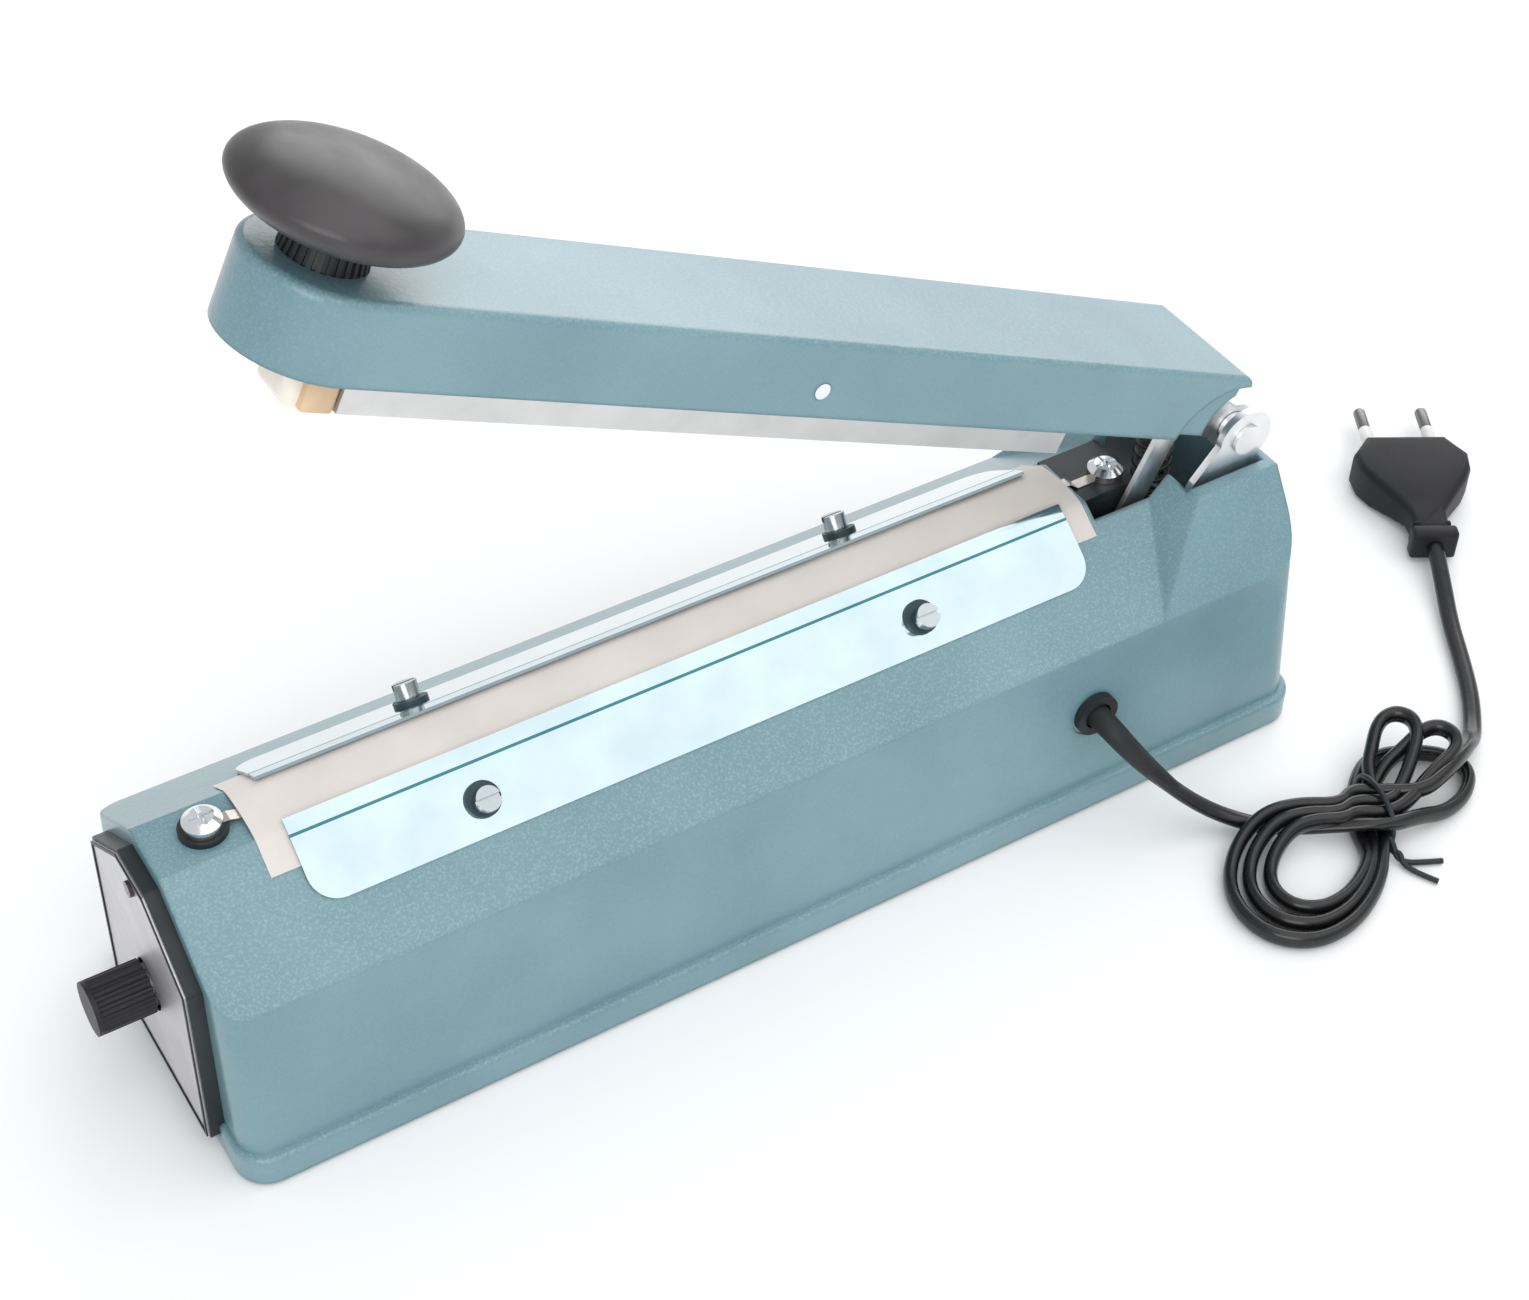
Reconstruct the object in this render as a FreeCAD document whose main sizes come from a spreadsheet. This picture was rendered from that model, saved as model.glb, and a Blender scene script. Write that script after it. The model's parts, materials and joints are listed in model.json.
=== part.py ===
"""Hand impulse sealer with a 200 mm seal, as a parametric assembly.

Frame: +Z up, +X from the timer end to the hinge end, -Y the side that the mains cord leaves.
The origin is at the bottom centre of the machine, on the surface that its feet stand on.
The arm is drawn level in its own frame, whose origin is the hinge pin, and placed opened.
"""
import FreeCAD
import Part

import math
import os
import re

import Sketcher
from FreeCAD import Placement, Rotation, Vector

# ---------------------------------------------------------------- driving dimensions
# name: value in millimetres, or degrees where the name ends in angle
SIZES = {
    # housing
    "body_length": 300.0,
    "body_half_width": 41.6,
    "shoulder_half_width": 37.4,
    "shoulder_height": 50.4,
    "roof_height": 71.0,
    "roof_half_width": 8.5,
    "wall_thickness": 3.0,
    "corner_radius": 7.0,
    "rear_draft": 2.0,
    "lip_width": 1.5,
    "lip_height": 8.0,
    "foot_drop": 1.0,
    "foot_radius": 6.0,
    "ear_start": 254.0,
    "ear_height": 73.4,
    "ear_half_width": 23.3,
    "ear_rake": 0.93,
    "ear_sweep": 0.19,
    "slot_start": 248.5,
    "slot_half_width": 12.5,
    "seat_slot_start": 271.5,
    "seat_slot_half_width": 20.0,
    "seat_slot_length": 24.5,
    "cover_thickness": 2.0,
    "cover_screw_radius": 1.5,
    # general clearances
    "fit_gap": 0.1,
    "screw_gap": 0.05,
    "running_gap": 0.05,
    "soft_gap": 0.3,
    # timer end
    "bezel_thickness": 3.6,
    "bezel_half_width": 27.5,
    "bezel_bottom": 3.5,
    "label_thickness": 0.4,
    "label_inset": 0.9,
    "dial_gap": 0.6,
    "dial_length": 13.9,
    "dial_radius": 6.6,
    "dial_height": 30.0,
    "dial_ribs": 18.0,
    "dial_shaft_radius": 3.0,
    "bushing_radius": 3.6,
    "timer_body_radius": 8.5,
    "timer_body_length": 9.0,
    "lamp_radius": 2.0,
    "lamp_height": 62.5,
    "lamp_side": 0.0,
    # seal bed
    "plate_length": 211.0,
    "plate_start": 29.5,
    "plate_thickness": 0.9,
    "plate_outer_half_width": 24.6,
    "plate_crease_half_width": 11.8,
    "plate_inner_half_width": 7.4,
    "plate_corner_radius": 7.0,
    "plate_screw_first": 73.0,
    "plate_screw_second": 192.0,
    "plate_screw_half_width": 18.0,
    "plate_screw_radius": 1.5,
    "plate_screw_head_radius": 3.0,
    "plate_screw_head_height": 4.6,
    "element_bar_width": 10.0,
    "element_bar_height": 2.0,
    "element_bar_sink": 1.2,
    "ribbon_width": 3.0,
    "ribbon_thickness": 0.2,
    "cloth_thickness": 0.2,
    "cloth_start": 22.5,
    "cloth_length": 224.5,
    "cloth_drop": 16.0,
    "terminal_x": 14.0,
    "terminal_screw_radius": 2.0,
    "terminal_head_radius": 4.6,
    "terminal_head_height": 3.2,
    "terminal_washer_radius": 5.7,
    "terminal_washer_thickness": 1.4,
    # hinge
    "pivot_distance": 290.2,
    "pivot_height": 81.5,
    "pin_radius": 3.0,
    "seat_half_width": 18.4,
    "seat_thickness": 2.0,
    "seat_top_radius": 8.0,
    "seat_side_reach": 5.2,
    "seat_base_height": 40.0,
    "open_angle": 25.1,
    # arm, drawn level about the hinge pin
    "arm_tip": 284.5,
    "arm_tail": 8.5,
    "arm_half_width": 18.5,
    "arm_bottom": -1.7,
    "arm_top": 17.2,
    "arm_wall": 2.5,
    "arm_edge_radius": 2.0,
    "scoop_radius": 18.9,
    "scoop_half_width": 15.6,
    "bar_front": 258.5,
    "bar_rear": 54.0,
    "bar_half_width": 9.5,
    "bar_wall": 1.5,
    "bar_top": -1.0,
    "bar_bottom": -12.8,
    "strip_overhang": 11.5,
    "strip_half_width": 6.5,
    "strip_bottom": -14.2,
    "bar_pin_distance": 146.2,
    "bar_pin_height": 5.1,
    "bar_pin_radius": 2.0,
    "bracket_half_width": 12.5,
    "bracket_thickness": 2.0,
    "bracket_length": 50.0,
    "bracket_top": 12.0,
    "bracket_nose_radius": 6.5,
    "push_leg_side": 8.0,
    "push_leg_width": 6.5,
    "push_leg_distance": 20.5,
    "push_leg_drop": 30.0,
    "knob_distance": 267.6,
    "knob_radius": 23.9,
    "knob_half_height": 8.5,
    "knob_centre": 30.5,
    "knob_neck_radius": 8.0,
    "collar_radius": 9.5,
    "collar_height": 4.0,
    "spring_radius": 4.5,
    "spring_wire_radius": 0.7,
    "spring_distance": 13.5,
    # inside
    "core_length": 64.0,
    "core_depth": 32.0,
    "core_height": 48.0,
    "core_window": 10.0,
    "core_x": 5.0,
    "strap_thickness": 1.5,
    "block_length": 18.0,
    "block_width": 18.5,
    "block_height": 27.0,
    "spring_length": 42.0,
    "leaf_angle": 14.0,
    # mains cord
    "gland_x": 233.0,
    "gland_z": 31.0,
    "gland_hole_radius": 4.2,
    "gland_flange_radius": 6.0,
    "gland_flange_thickness": 2.2,
    "gland_recess": 1.2,
    "cord_radius": 2.6,
    "hank_height": 13.0,
    "plug_x": 233.2,
    "plug_y": -16.0,
    "plug_angle": 66.0,
    "plug_half_width": 17.3,
    "plug_length": 43.0,
    "plug_thickness": 13.0,
    "plug_pin_radius": 2.0,
    "plug_pin_spacing": 18.6,
    "plug_pin_length": 19.0,
}

# Places worked out from the sizes, in the model frame unless the name says otherwise.
PLACES = {
    "front_reach": "bezel_thickness + label_thickness + dial_gap + dial_length",
    "front_x": "-(body_length + lip_width + front_reach) / 2 + front_reach",
    "rear_x": "front_x + body_length",
    "shoulder_z": "foot_drop + shoulder_height",
    "roof_z": "foot_drop + roof_height",
    "ear_z": "foot_drop + ear_height",
    "roof_slope": "(roof_height - shoulder_height) / (shoulder_half_width - roof_half_width)",
    "roof_cos": "1 / sqrt(1 + roof_slope * roof_slope)",
    "ear_slope": "(ear_height - shoulder_height) / (shoulder_half_width - ear_half_width)",
    "side_draft": "(body_half_width - shoulder_half_width) / shoulder_height",
    "cover_top_z": "foot_drop + cover_thickness",
    "plate_start_x": "front_x + plate_start",
    "cloth_start_x": "front_x + cloth_start",
    "bar_top_z": "roof_z - element_bar_sink + element_bar_height",
    "ribbon_top_z": "bar_top_z + ribbon_thickness",
    "cloth_top_z": "ribbon_top_z + soft_gap / 3 + cloth_thickness",
    "pivot_x": "front_x + pivot_distance",
    "pivot_z": "foot_drop + pivot_height",
    "dial_z": "foot_drop + dial_height",
    "lamp_z": "foot_drop + lamp_height",
    "seat_base_z": "foot_drop + seat_base_height",
    "block_z": "seat_base_z + seat_thickness",
    "block_screw_x": "front_x + slot_start + 12.5",
    "switch_x": "pivot_x - 9",
    "leaf_z": "block_z + 8.9",
    "gland_place_x": "front_x + gland_x",
    "gland_place_z": "foot_drop + gland_z",
    "gland_face_y": "-(body_half_width - side_draft * gland_z)",
}

doc = FreeCAD.newDocument("hand_impulse_sealer")


def make_sheet():
    """Spreadsheet of the driving dimensions, one alias for each cell."""
    new_sheet = doc.addObject("Spreadsheet::Sheet", "Dims")
    for row, (name, value) in enumerate(SIZES.items(), start=1):
        new_sheet.set(f"A{row}", name)
        new_sheet.set(f"B{row}", str(value))
        new_sheet.setAlias(f"B{row}", name)
    doc.recompute()
    return new_sheet


def expand(text):
    """The full expression for a text that uses the bare names of sizes and places."""
    def prefix(match):
        word = match.group(0)
        if word in SIZES:
            return "Dims." + word
        if word in PLACES:
            return "Layout." + word
        return word
    return re.sub(r"[a-z_][a-z0-9_]*", prefix, str(text))


def value_of(text):
    """The number that an expression text has now."""
    return float(sheet.evalExpression(expand(text)))


def bind(item, prop, text):
    """Tie a property to an expression text."""
    item.setExpression(prop, expand(text))


def make_layout():
    """Derived places, each tied to the sheet by an expression."""
    layout = doc.addObject("App::VarSet", "Layout")
    for name, text in PLACES.items():
        layout.addProperty("App::PropertyFloat", name)
        bind(layout, name, text)
    doc.recompute()
    return layout


sheet = make_sheet()
make_layout()
kept = []


def keep(item, node):
    """Name an object as a finished piece, which is written to its own file."""
    item.Label = node
    kept.append(item)
    return item


# ---------------------------------------------------------------- sketches and features
def make_body(name):
    return doc.addObject("PartDesign::Body", name)


def make_sketch(body, role, offset="0"):
    """Sketch on one of the body's origin planes, moved along its normal by the offset."""
    sketch = body.newObject("Sketcher::SketchObject", body.Name + "_sketch")
    plane = [item for item in body.Origin.OriginFeatures if item.Role == role][0]
    sketch.AttachmentSupport = [(plane, "")]
    sketch.MapMode = "FlatFace"
    bind(sketch, "AttachmentOffset.Base.z", offset)
    return sketch


def fix_point(sketch, geometry, point, across, up):
    """Hold a sketch point at two expressions from the sketch origin."""
    for kind, text in (("DistanceX", across), ("DistanceY", up)):
        rule = Sketcher.Constraint(kind, -1, 1, geometry, point, value_of(text))
        index = sketch.addConstraint(rule)
        bind(sketch, f"Constraints[{index}]", text)


def add_polygon(sketch, points):
    """Closed outline through points given as pairs of expressions."""
    spots = [Vector(value_of(across), value_of(up), 0) for across, up in points]
    count = len(spots)
    first = sketch.GeometryCount
    for index in range(count):
        sketch.addGeometry(Part.LineSegment(spots[index], spots[(index + 1) % count]))
    for index in range(count):
        following = first + (index + 1) % count
        sketch.addConstraint(Sketcher.Constraint("Coincident", first + index, 2, following, 1))
    for index, (across, up) in enumerate(points):
        fix_point(sketch, first + index, 1, across, up)


def add_circle(sketch, across, up, radius):
    """Circle whose centre and radius are expressions."""
    centre = Vector(value_of(across), value_of(up), 0)
    index = sketch.addGeometry(Part.Circle(centre, Vector(0, 0, 1), value_of(radius)))
    fix_point(sketch, index, 3, across, up)
    rule = sketch.addConstraint(Sketcher.Constraint("Radius", index, value_of(radius)))
    bind(sketch, f"Constraints[{rule}]", radius)


def add_rounded_rectangle(sketch, left, right, half, radius):
    """Rectangle between two x expressions, symmetric across them, with round corners."""
    left_value, right_value = value_of(left), value_of(right)
    half_value, round_value = value_of(half), value_of(radius)
    centres = [
        (f"({right}) - ({radius})", f"-(({half}) - ({radius}))"),
        (f"({right}) - ({radius})", f"({half}) - ({radius})"),
        (f"({left}) + ({radius})", f"({half}) - ({radius})"),
        (f"({left}) + ({radius})", f"-(({half}) - ({radius}))"),
    ]
    turns = [-90, 0, 90, 180]
    inner_left, inner_right = left_value + round_value, right_value - round_value
    inner_half = half_value - round_value
    straight = [
        ((right_value, -inner_half), (right_value, inner_half)),
        ((inner_right, half_value), (inner_left, half_value)),
        ((left_value, inner_half), (left_value, -inner_half)),
        ((inner_left, -half_value), (inner_right, -half_value)),
    ]
    for (across, up), turn, (start, end) in zip(centres, turns, straight):
        spot = Vector(value_of(across), value_of(up), 0)
        circle = Part.Circle(spot, Vector(0, 0, 1), round_value)
        arc = Part.ArcOfCircle(circle, math.radians(turn), math.radians(turn + 90))
        sketch.addGeometry(arc)
        sketch.addGeometry(Part.LineSegment(Vector(*start, 0), Vector(*end, 0)))
    for corner in range(4):
        arc, line = 2 * corner, 2 * corner + 1
        sketch.addConstraint(Sketcher.Constraint("Tangent", arc, 2, line, 1))
        sketch.addConstraint(Sketcher.Constraint("Tangent", line, 2, (line + 1) % 8, 1))
    for corner, (across, up) in enumerate(centres):
        fix_point(sketch, 2 * corner, 3, across, up)
        if corner:
            sketch.addConstraint(Sketcher.Constraint("Equal", 0, 2 * corner))
    index = sketch.addConstraint(Sketcher.Constraint("Radius", 0, round_value))
    bind(sketch, f"Constraints[{index}]", radius)


def pad(body, sketch, length, both_ways=False):
    """Pad a sketch; both ways makes it symmetric about the sketch plane."""
    feature = body.newObject("PartDesign::Pad", body.Name + "_pad")
    feature.Profile = sketch
    feature.Midplane = both_ways
    bind(feature, "Length", length)
    doc.recompute()
    return feature


def prism(name, role, points, length, offset="0", both_ways=False):
    """Body made by padding one polygon."""
    body = make_body(name)
    sketch = make_sketch(body, role, offset)
    add_polygon(sketch, points)
    pad(body, sketch, length, both_ways)
    return body


def rounded_block(name, left, right, half, radius, bottom, height):
    """Body with a rounded rectangle as its plan."""
    body = make_body(name)
    sketch = make_sketch(body, "XY_Plane", bottom)
    add_rounded_rectangle(sketch, left, right, half, radius)
    pad(body, sketch, height)
    return body


def fillet_edges(body, radius, chosen):
    """Round the edges of the body's last feature that the test picks."""
    base = body.Tip
    names = []
    for index, edge in enumerate(base.Shape.Edges, start=1):
        if chosen(edge):
            names.append(f"Edge{index}")
    feature = body.newObject("PartDesign::Fillet", body.Name + "_fillet")
    feature.Base = (base, names)
    bind(feature, "Radius", radius)
    doc.recompute()
    return feature


def runs_along(edge, axis):
    """True for a straight edge parallel to the axis."""
    if edge.Curve.TypeId != "Part::GeomLine":
        return False
    return abs(abs(edge.tangentAt(edge.FirstParameter).dot(axis)) - 1) < 1e-6


# ---------------------------------------------------------------- primitives and booleans
TURNS = {
    "X": Rotation(Vector(0, 1, 0), 90),
    "Y": Rotation(Vector(1, 0, 0), -90),
    "Z": Rotation(),
}


def put(item, place_x, place_y, place_z):
    """Tie an object's position to three expressions."""
    for prop, text in (("x", place_x), ("y", place_y), ("z", place_z)):
        bind(item, "Placement.Base." + prop, text)
    return item


def cylinder(name, radius, height, place_x, place_y, place_z, axis="Z"):
    """Cylinder that starts at the place and grows along the axis."""
    item = doc.addObject("Part::Cylinder", name)
    bind(item, "Radius", radius)
    bind(item, "Height", height)
    item.Placement.Rotation = TURNS[axis]
    return put(item, place_x, place_y, place_z)


def box(name, length, width, height, place_x, place_y, place_z):
    """Box with its low corner in X and Z at the place, and centred there in Y."""
    item = doc.addObject("Part::Box", name)
    bind(item, "Length", length)
    bind(item, "Width", width)
    bind(item, "Height", height)
    return put(item, place_x, f"({place_y}) - ({width}) / 2", place_z)


def fuse(name, *items):
    if len(items) == 1:
        return items[0]
    item = doc.addObject("Part::MultiFuse", name)
    item.Shapes = list(items)
    return item


def cut(name, base, *tools):
    item = doc.addObject("Part::Cut", name)
    item.Base = base
    item.Tool = fuse(name + "_tools", *tools)
    return item


def common(name, first, second):
    item = doc.addObject("Part::Common", name)
    item.Base = first
    item.Tool = second
    return item


def group(name, *items):
    """Separate solids kept in one object."""
    item = doc.addObject("Part::Compound", name)
    item.Links = list(items)
    return item


def mirrored(name, item, normal):
    """Copy of an object mirrored in a plane through the origin."""
    copy = doc.addObject("Part::Mirroring", name)
    copy.Source = item
    copy.Base = Vector(0, 0, 0)
    copy.Normal = normal
    return copy


SIDEWAYS = Vector(0, 1, 0)


def on_arm(item):
    """Place an object drawn in the arm's own frame on the opened arm."""
    item = group(item.Name + "_on_arm", item)
    item.Placement.Rotation = Rotation(Vector(0, 1, 0), value_of("open_angle"))
    bind(item, "Placement.Rotation.Angle", "open_angle")
    return put(item, "pivot_x", "0", "pivot_z")


# ---------------------------------------------------------------- base housing
def tapered_block(name, inset, corner, bottom, reach):
    """Rounded block that narrows upwards with the housing's draft, inset by a wall."""
    body = make_body(name)
    rise = f"({reach}) - foot_drop"
    low = make_sketch(body, "XY_Plane", bottom)
    shift = f"({bottom}) - foot_drop"
    add_rounded_rectangle(
        low, f"front_x + {inset}", f"rear_x - {inset} - rear_draft * ({shift}) / roof_height",
        f"body_half_width - {inset} - side_draft * ({shift})", corner)
    high = make_sketch(body, "XY_Plane", reach)
    add_rounded_rectangle(
        high, f"front_x + {inset}", f"rear_x - {inset} - rear_draft * ({rise}) / roof_height",
        f"body_half_width - {inset} - side_draft * ({rise})", corner)
    loft = body.newObject("PartDesign::AdditiveLoft", name + "_loft")
    loft.Profile = low
    loft.Sections = [high]
    loft.Ruled = True
    return body


def roof_prism(name, depth, bottom):
    """Gable that cuts a block along the roof, its surfaces sunk by a wall depth."""
    wide = "(body_half_width + 5)"
    drop = f"{depth} / roof_cos"
    ridge = f"(roof_half_width - ({drop} - {depth}) / roof_slope)"
    eaves = f"roof_z - {drop} - ({wide} - roof_half_width) * roof_slope"
    points = [
        (f"-{wide}", bottom),
        (wide, bottom),
        (wide, eaves),
        (ridge, f"roof_z - {depth}"),
        (f"-{ridge}", f"roof_z - {depth}"),
        (f"-{wide}", eaves),
    ]
    return prism(name, "YZ_Plane", points, "body_length + 10", "front_x - 5")


def ear_solid():
    """Raised shoulder beside the hinge, cut off in front by a raked plane."""
    rear = value_of("rear_x + 5")
    apex_x = value_of("front_x + ear_start")
    apex_y, apex_z = value_of("shoulder_half_width"), value_of("shoulder_z")
    rake, sweep = value_of("ear_rake"), value_of("ear_sweep")
    inner, outer = value_of("slot_half_width"), value_of("body_half_width + 5")
    top_z, top_y = value_of("ear_z"), value_of("ear_half_width")
    low_z = value_of("shoulder_z - wall_thickness")
    outer_z = top_z - (outer - top_y) * value_of("ear_slope")
    low_z = min(low_z, outer_z - 1)
    section = [(inner, low_z), (outer, low_z), (outer, outer_z), (top_y, top_z), (inner, top_z)]
    front = []
    back = []
    for across, up in section:
        place = apex_x + sweep * (across - apex_y) + rake * (up - apex_z)
        front.append(Vector(place, -across, up))
        back.append(Vector(rear, -across, up))
    faces = [Part.Face(Part.makePolygon(front + front[:1]))]
    faces.append(Part.Face(Part.makePolygon(back + back[:1])))
    count = len(section)
    for index in range(count):
        after = (index + 1) % count
        loop = [front[index], front[after], back[after], back[index], front[index]]
        faces.append(Part.Face(Part.makePolygon(loop)))
    solid = Part.makeSolid(Part.makeShell(faces))
    solid.fixTolerance(1e-6)
    if solid.Volume < 0:
        solid.reverse()
    item = doc.addObject("Part::Feature", "ear_near")
    item.Shape = solid
    return item


def on_slope(item, distance, side, lift):
    """Stand an object drawn along +Z on the roof slope, moved out along its normal."""
    half = "plate_screw_half_width"
    item.Placement.Rotation = Rotation(Vector(-side, 0, 0), 30)
    bind(item, "Placement.Rotation.Angle", "atan(roof_slope)")
    return put(item, f"front_x + {distance}",
               f"{side} * ({half} + ({lift}) * roof_slope * roof_cos)",
               f"roof_z - ({half} - roof_half_width) * roof_slope + ({lift}) * roof_cos")


def slope_bore(name, radius, distance, side):
    """Long cylinder through the roof slope, square to it."""
    return on_slope(cylinder(name, radius, "20", "0", "0", "0"), distance, side, "-8")


def plate_screw_places():
    for side in (-1, 1):
        for distance in ("plate_screw_first", "plate_screw_second"):
            yield side, distance


BOSS_INSET_X = "(wall_thickness + 8)"
BOSS_Y = "(body_half_width - wall_thickness - 4.5)"


def boss_places():
    for place_x in (f"front_x + {BOSS_INSET_X}", f"rear_x - {BOSS_INSET_X}"):
        for side in ("-", ""):
            yield place_x, f"{side}({BOSS_Y})"


def base_housing():
    """Cast shell with its lip, gable roof, hinge ears, slots, bosses and holes."""
    outer = tapered_block("outer_block", "0", "corner_radius", "foot_drop", "ear_z")
    gable = roof_prism("outer_gable", "0", "foot_drop - 1")
    ear = ear_solid()
    far_ear = mirrored("ear_far", ear, SIDEWAYS)
    skin = common("outer_skin", outer, fuse("roof", gable, ear, far_ear))
    lip = rounded_block("lip", "front_x - lip_width", "rear_x + lip_width",
                        "body_half_width + lip_width", "corner_radius + lip_width",
                        "foot_drop", "lip_height")
    lip_top = value_of("foot_drop + lip_height")
    fillet_edges(lip, "lip_width * 0.8",
                 lambda edge: edge.BoundBox.ZMin > lip_top - 0.01)
    inner = tapered_block("inner_block", "wall_thickness", "corner_radius - wall_thickness",
                          "foot_drop - 0.01", "roof_z")
    inner_gable = roof_prism("inner_gable", "wall_thickness", "foot_drop - 1")
    cavity = common("cavity", inner, inner_gable)
    cover_seat = rounded_block("cover_seat", "front_x + 1", "rear_x - 1",
                               "body_half_width - 1", "corner_radius - 1",
                               "foot_drop - 1", "cover_thickness + 1")
    hollow = cut("shell_blank", fuse("outer_form", skin, lip), cavity, cover_seat)
    bosses = []
    pilots = []
    for index, (place_x, place_y) in enumerate(boss_places()):
        bosses.append(cylinder(f"cover_boss_{index}", "4.5", "18", place_x, place_y,
                               "cover_top_z"))
        pilots.append(cylinder(f"cover_pilot_{index}", "cover_screw_radius + screw_gap", "12",
                               place_x, place_y, "cover_top_z - 1"))
    shell = fuse("shell_with_bosses", hollow, *bosses)
    front_slot = box("front_slot", "seat_slot_start - slot_start + 1", "slot_half_width * 2",
                     "60", "front_x + slot_start", "0", "shoulder_z - 8")
    seat_slot = box("seat_slot", "seat_slot_length", "seat_slot_half_width * 2", "60",
                    "front_x + seat_slot_start", "0", "shoulder_z - 8")
    groove = box("element_groove", "plate_length + 6", "element_bar_width + fit_gap * 2",
                 "element_bar_sink + 5", "plate_start_x - 3", "0", "roof_z - element_bar_sink")
    bushing_hole = cylinder("bushing_hole", "bushing_radius + fit_gap", "20",
                            "front_x - 10", "0", "dial_z", "X")
    lamp_hole = cylinder("lamp_hole", "lamp_radius + fit_gap", "20",
                         "front_x - 10", "lamp_side", "lamp_z", "X")
    gland_hole = cylinder("gland_hole", "gland_hole_radius + fit_gap", "20",
                          "gland_place_x", "gland_face_y - 10", "gland_place_z", "Y")
    gland_face = cylinder("gland_face", "gland_flange_radius + 1", "10",
                          "gland_place_x", "gland_face_y - 10", "gland_place_z", "Y")
    terminal_hole = cylinder("terminal_hole", "terminal_screw_radius + 1.2", "20",
                             "front_x + terminal_x", "0", "roof_z - 10")
    bezel_seat = box("bezel_seat", "lip_width + 2", "(bezel_half_width + fit_gap) * 2",
                     "roof_height", "front_x - lip_width - 2", "0",
                     "foot_drop + bezel_bottom - fit_gap")
    screw_holes = []
    for index, (side, distance) in enumerate(plate_screw_places()):
        screw_holes.append(slope_bore(f"plate_screw_hole_{index}",
                                      "plate_screw_radius + screw_gap", distance, side))
    opened = cut("housing_opened", shell, front_slot, seat_slot, groove)
    supports = []
    seat_pilots = []
    for index, (place_x, place_y, end) in enumerate(seat_screw_places()):
        if end == "front":
            post = cylinder(f"seat_boss_{index}", "4.0", "60", place_x, place_y, "block_z")
            supports.append(common(f"seat_boss_cut_{index}", post,
                                   roof_prism(f"seat_boss_roof_{index}", "1", "foot_drop")))
            seat_pilots.append(cylinder(f"seat_pilot_{index}", "2.0 + screw_gap", "12",
                                        place_x, place_y, "block_z - 1"))
        else:
            seat_pilots.append(cylinder(f"seat_pilot_{index}", "2.0 + screw_gap", "12",
                                        place_x, place_y, "seat_base_z - 11"))
    supports.append(box("seat_ledge", "14", "34", "14",
                        "rear_x - rear_draft - wall_thickness - 12.5", "0",
                        "seat_base_z - 14"))
    finished = cut("housing", fuse("housing_full", opened, *supports), bushing_hole,
                   lamp_hole, gland_hole, gland_face, terminal_hole, bezel_seat,
                   *pilots, *screw_holes, *seat_pilots)
    keep(finished, "base_housing")


def bottom_parts():
    """Cover plate let into the lip, its screws and its rubber feet."""
    plate = rounded_block("cover_plate", "front_x + 1 + fit_gap", "rear_x - 1 - fit_gap",
                          "body_half_width - 1 - fit_gap", "corner_radius - 1 - fit_gap",
                          "foot_drop", "cover_thickness")
    holes = []
    screws = []
    for index, (place_x, place_y) in enumerate(boss_places()):
        holes.append(cylinder(f"cover_hole_{index}", "cover_screw_radius + screw_gap", "10",
                              place_x, place_y, "foot_drop - 1"))
        holes.append(cylinder(f"cover_sink_{index}", "3.2", "1.05",
                              place_x, place_y, "foot_drop - 0.05"))
        shank = cylinder(f"cover_shank_{index}", "cover_screw_radius", "9",
                         place_x, place_y, "foot_drop + 0.2")
        head = cylinder(f"cover_head_{index}", "3.0", "0.8",
                        place_x, place_y, "foot_drop + 0.1")
        screws.append(fuse(f"cover_screw_{index}", shank, head))
    keep(cut("cover", plate, *holes), "bottom_cover")
    keep(group("cover_screws", *screws), "bottom_cover_screws")
    feet = []
    for index, (end, side) in enumerate([(1, -1), (1, 1), (-1, -1), (-1, 1)]):
        place_x = f"(front_x + rear_x) / 2 + {end} * (body_length / 2 - 28)"
        feet.append(cylinder(f"foot_{index}", "foot_radius", "foot_drop",
                             place_x, f"{side} * (body_half_width - 14)", "0"))
    keep(group("feet", *feet), "rubber_feet")


# ---------------------------------------------------------------- timer end
def gable_outline(inset):
    """Outline of the front plate, drawn inwards by an inset."""
    half = f"(bezel_half_width - {inset})"
    edge = f"(3.5 + {inset})"
    corner_z = f"roof_z - ({half} - roof_half_width) * roof_slope - {edge} / roof_cos"
    top_half = "(roof_half_width - 1)"
    top_z = f"roof_z + roof_slope - {edge} / roof_cos"
    low_z = f"foot_drop + bezel_bottom + {inset}"
    return [
        (f"-{half}", low_z),
        (half, low_z),
        (half, corner_z),
        (top_half, top_z),
        (f"-{top_half}", top_z),
        (f"-{half}", corner_z),
    ]


def hexagon(radius, centre_across, centre_up):
    """Corners of a hexagon with the given corner radius."""
    points = []
    for corner in range(6):
        across = f"({centre_across}) + ({radius}) * cos({60 * corner})"
        up = f"({centre_up}) + ({radius}) * sin({60 * corner})"
        points.append((across, up))
    return points


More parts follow.
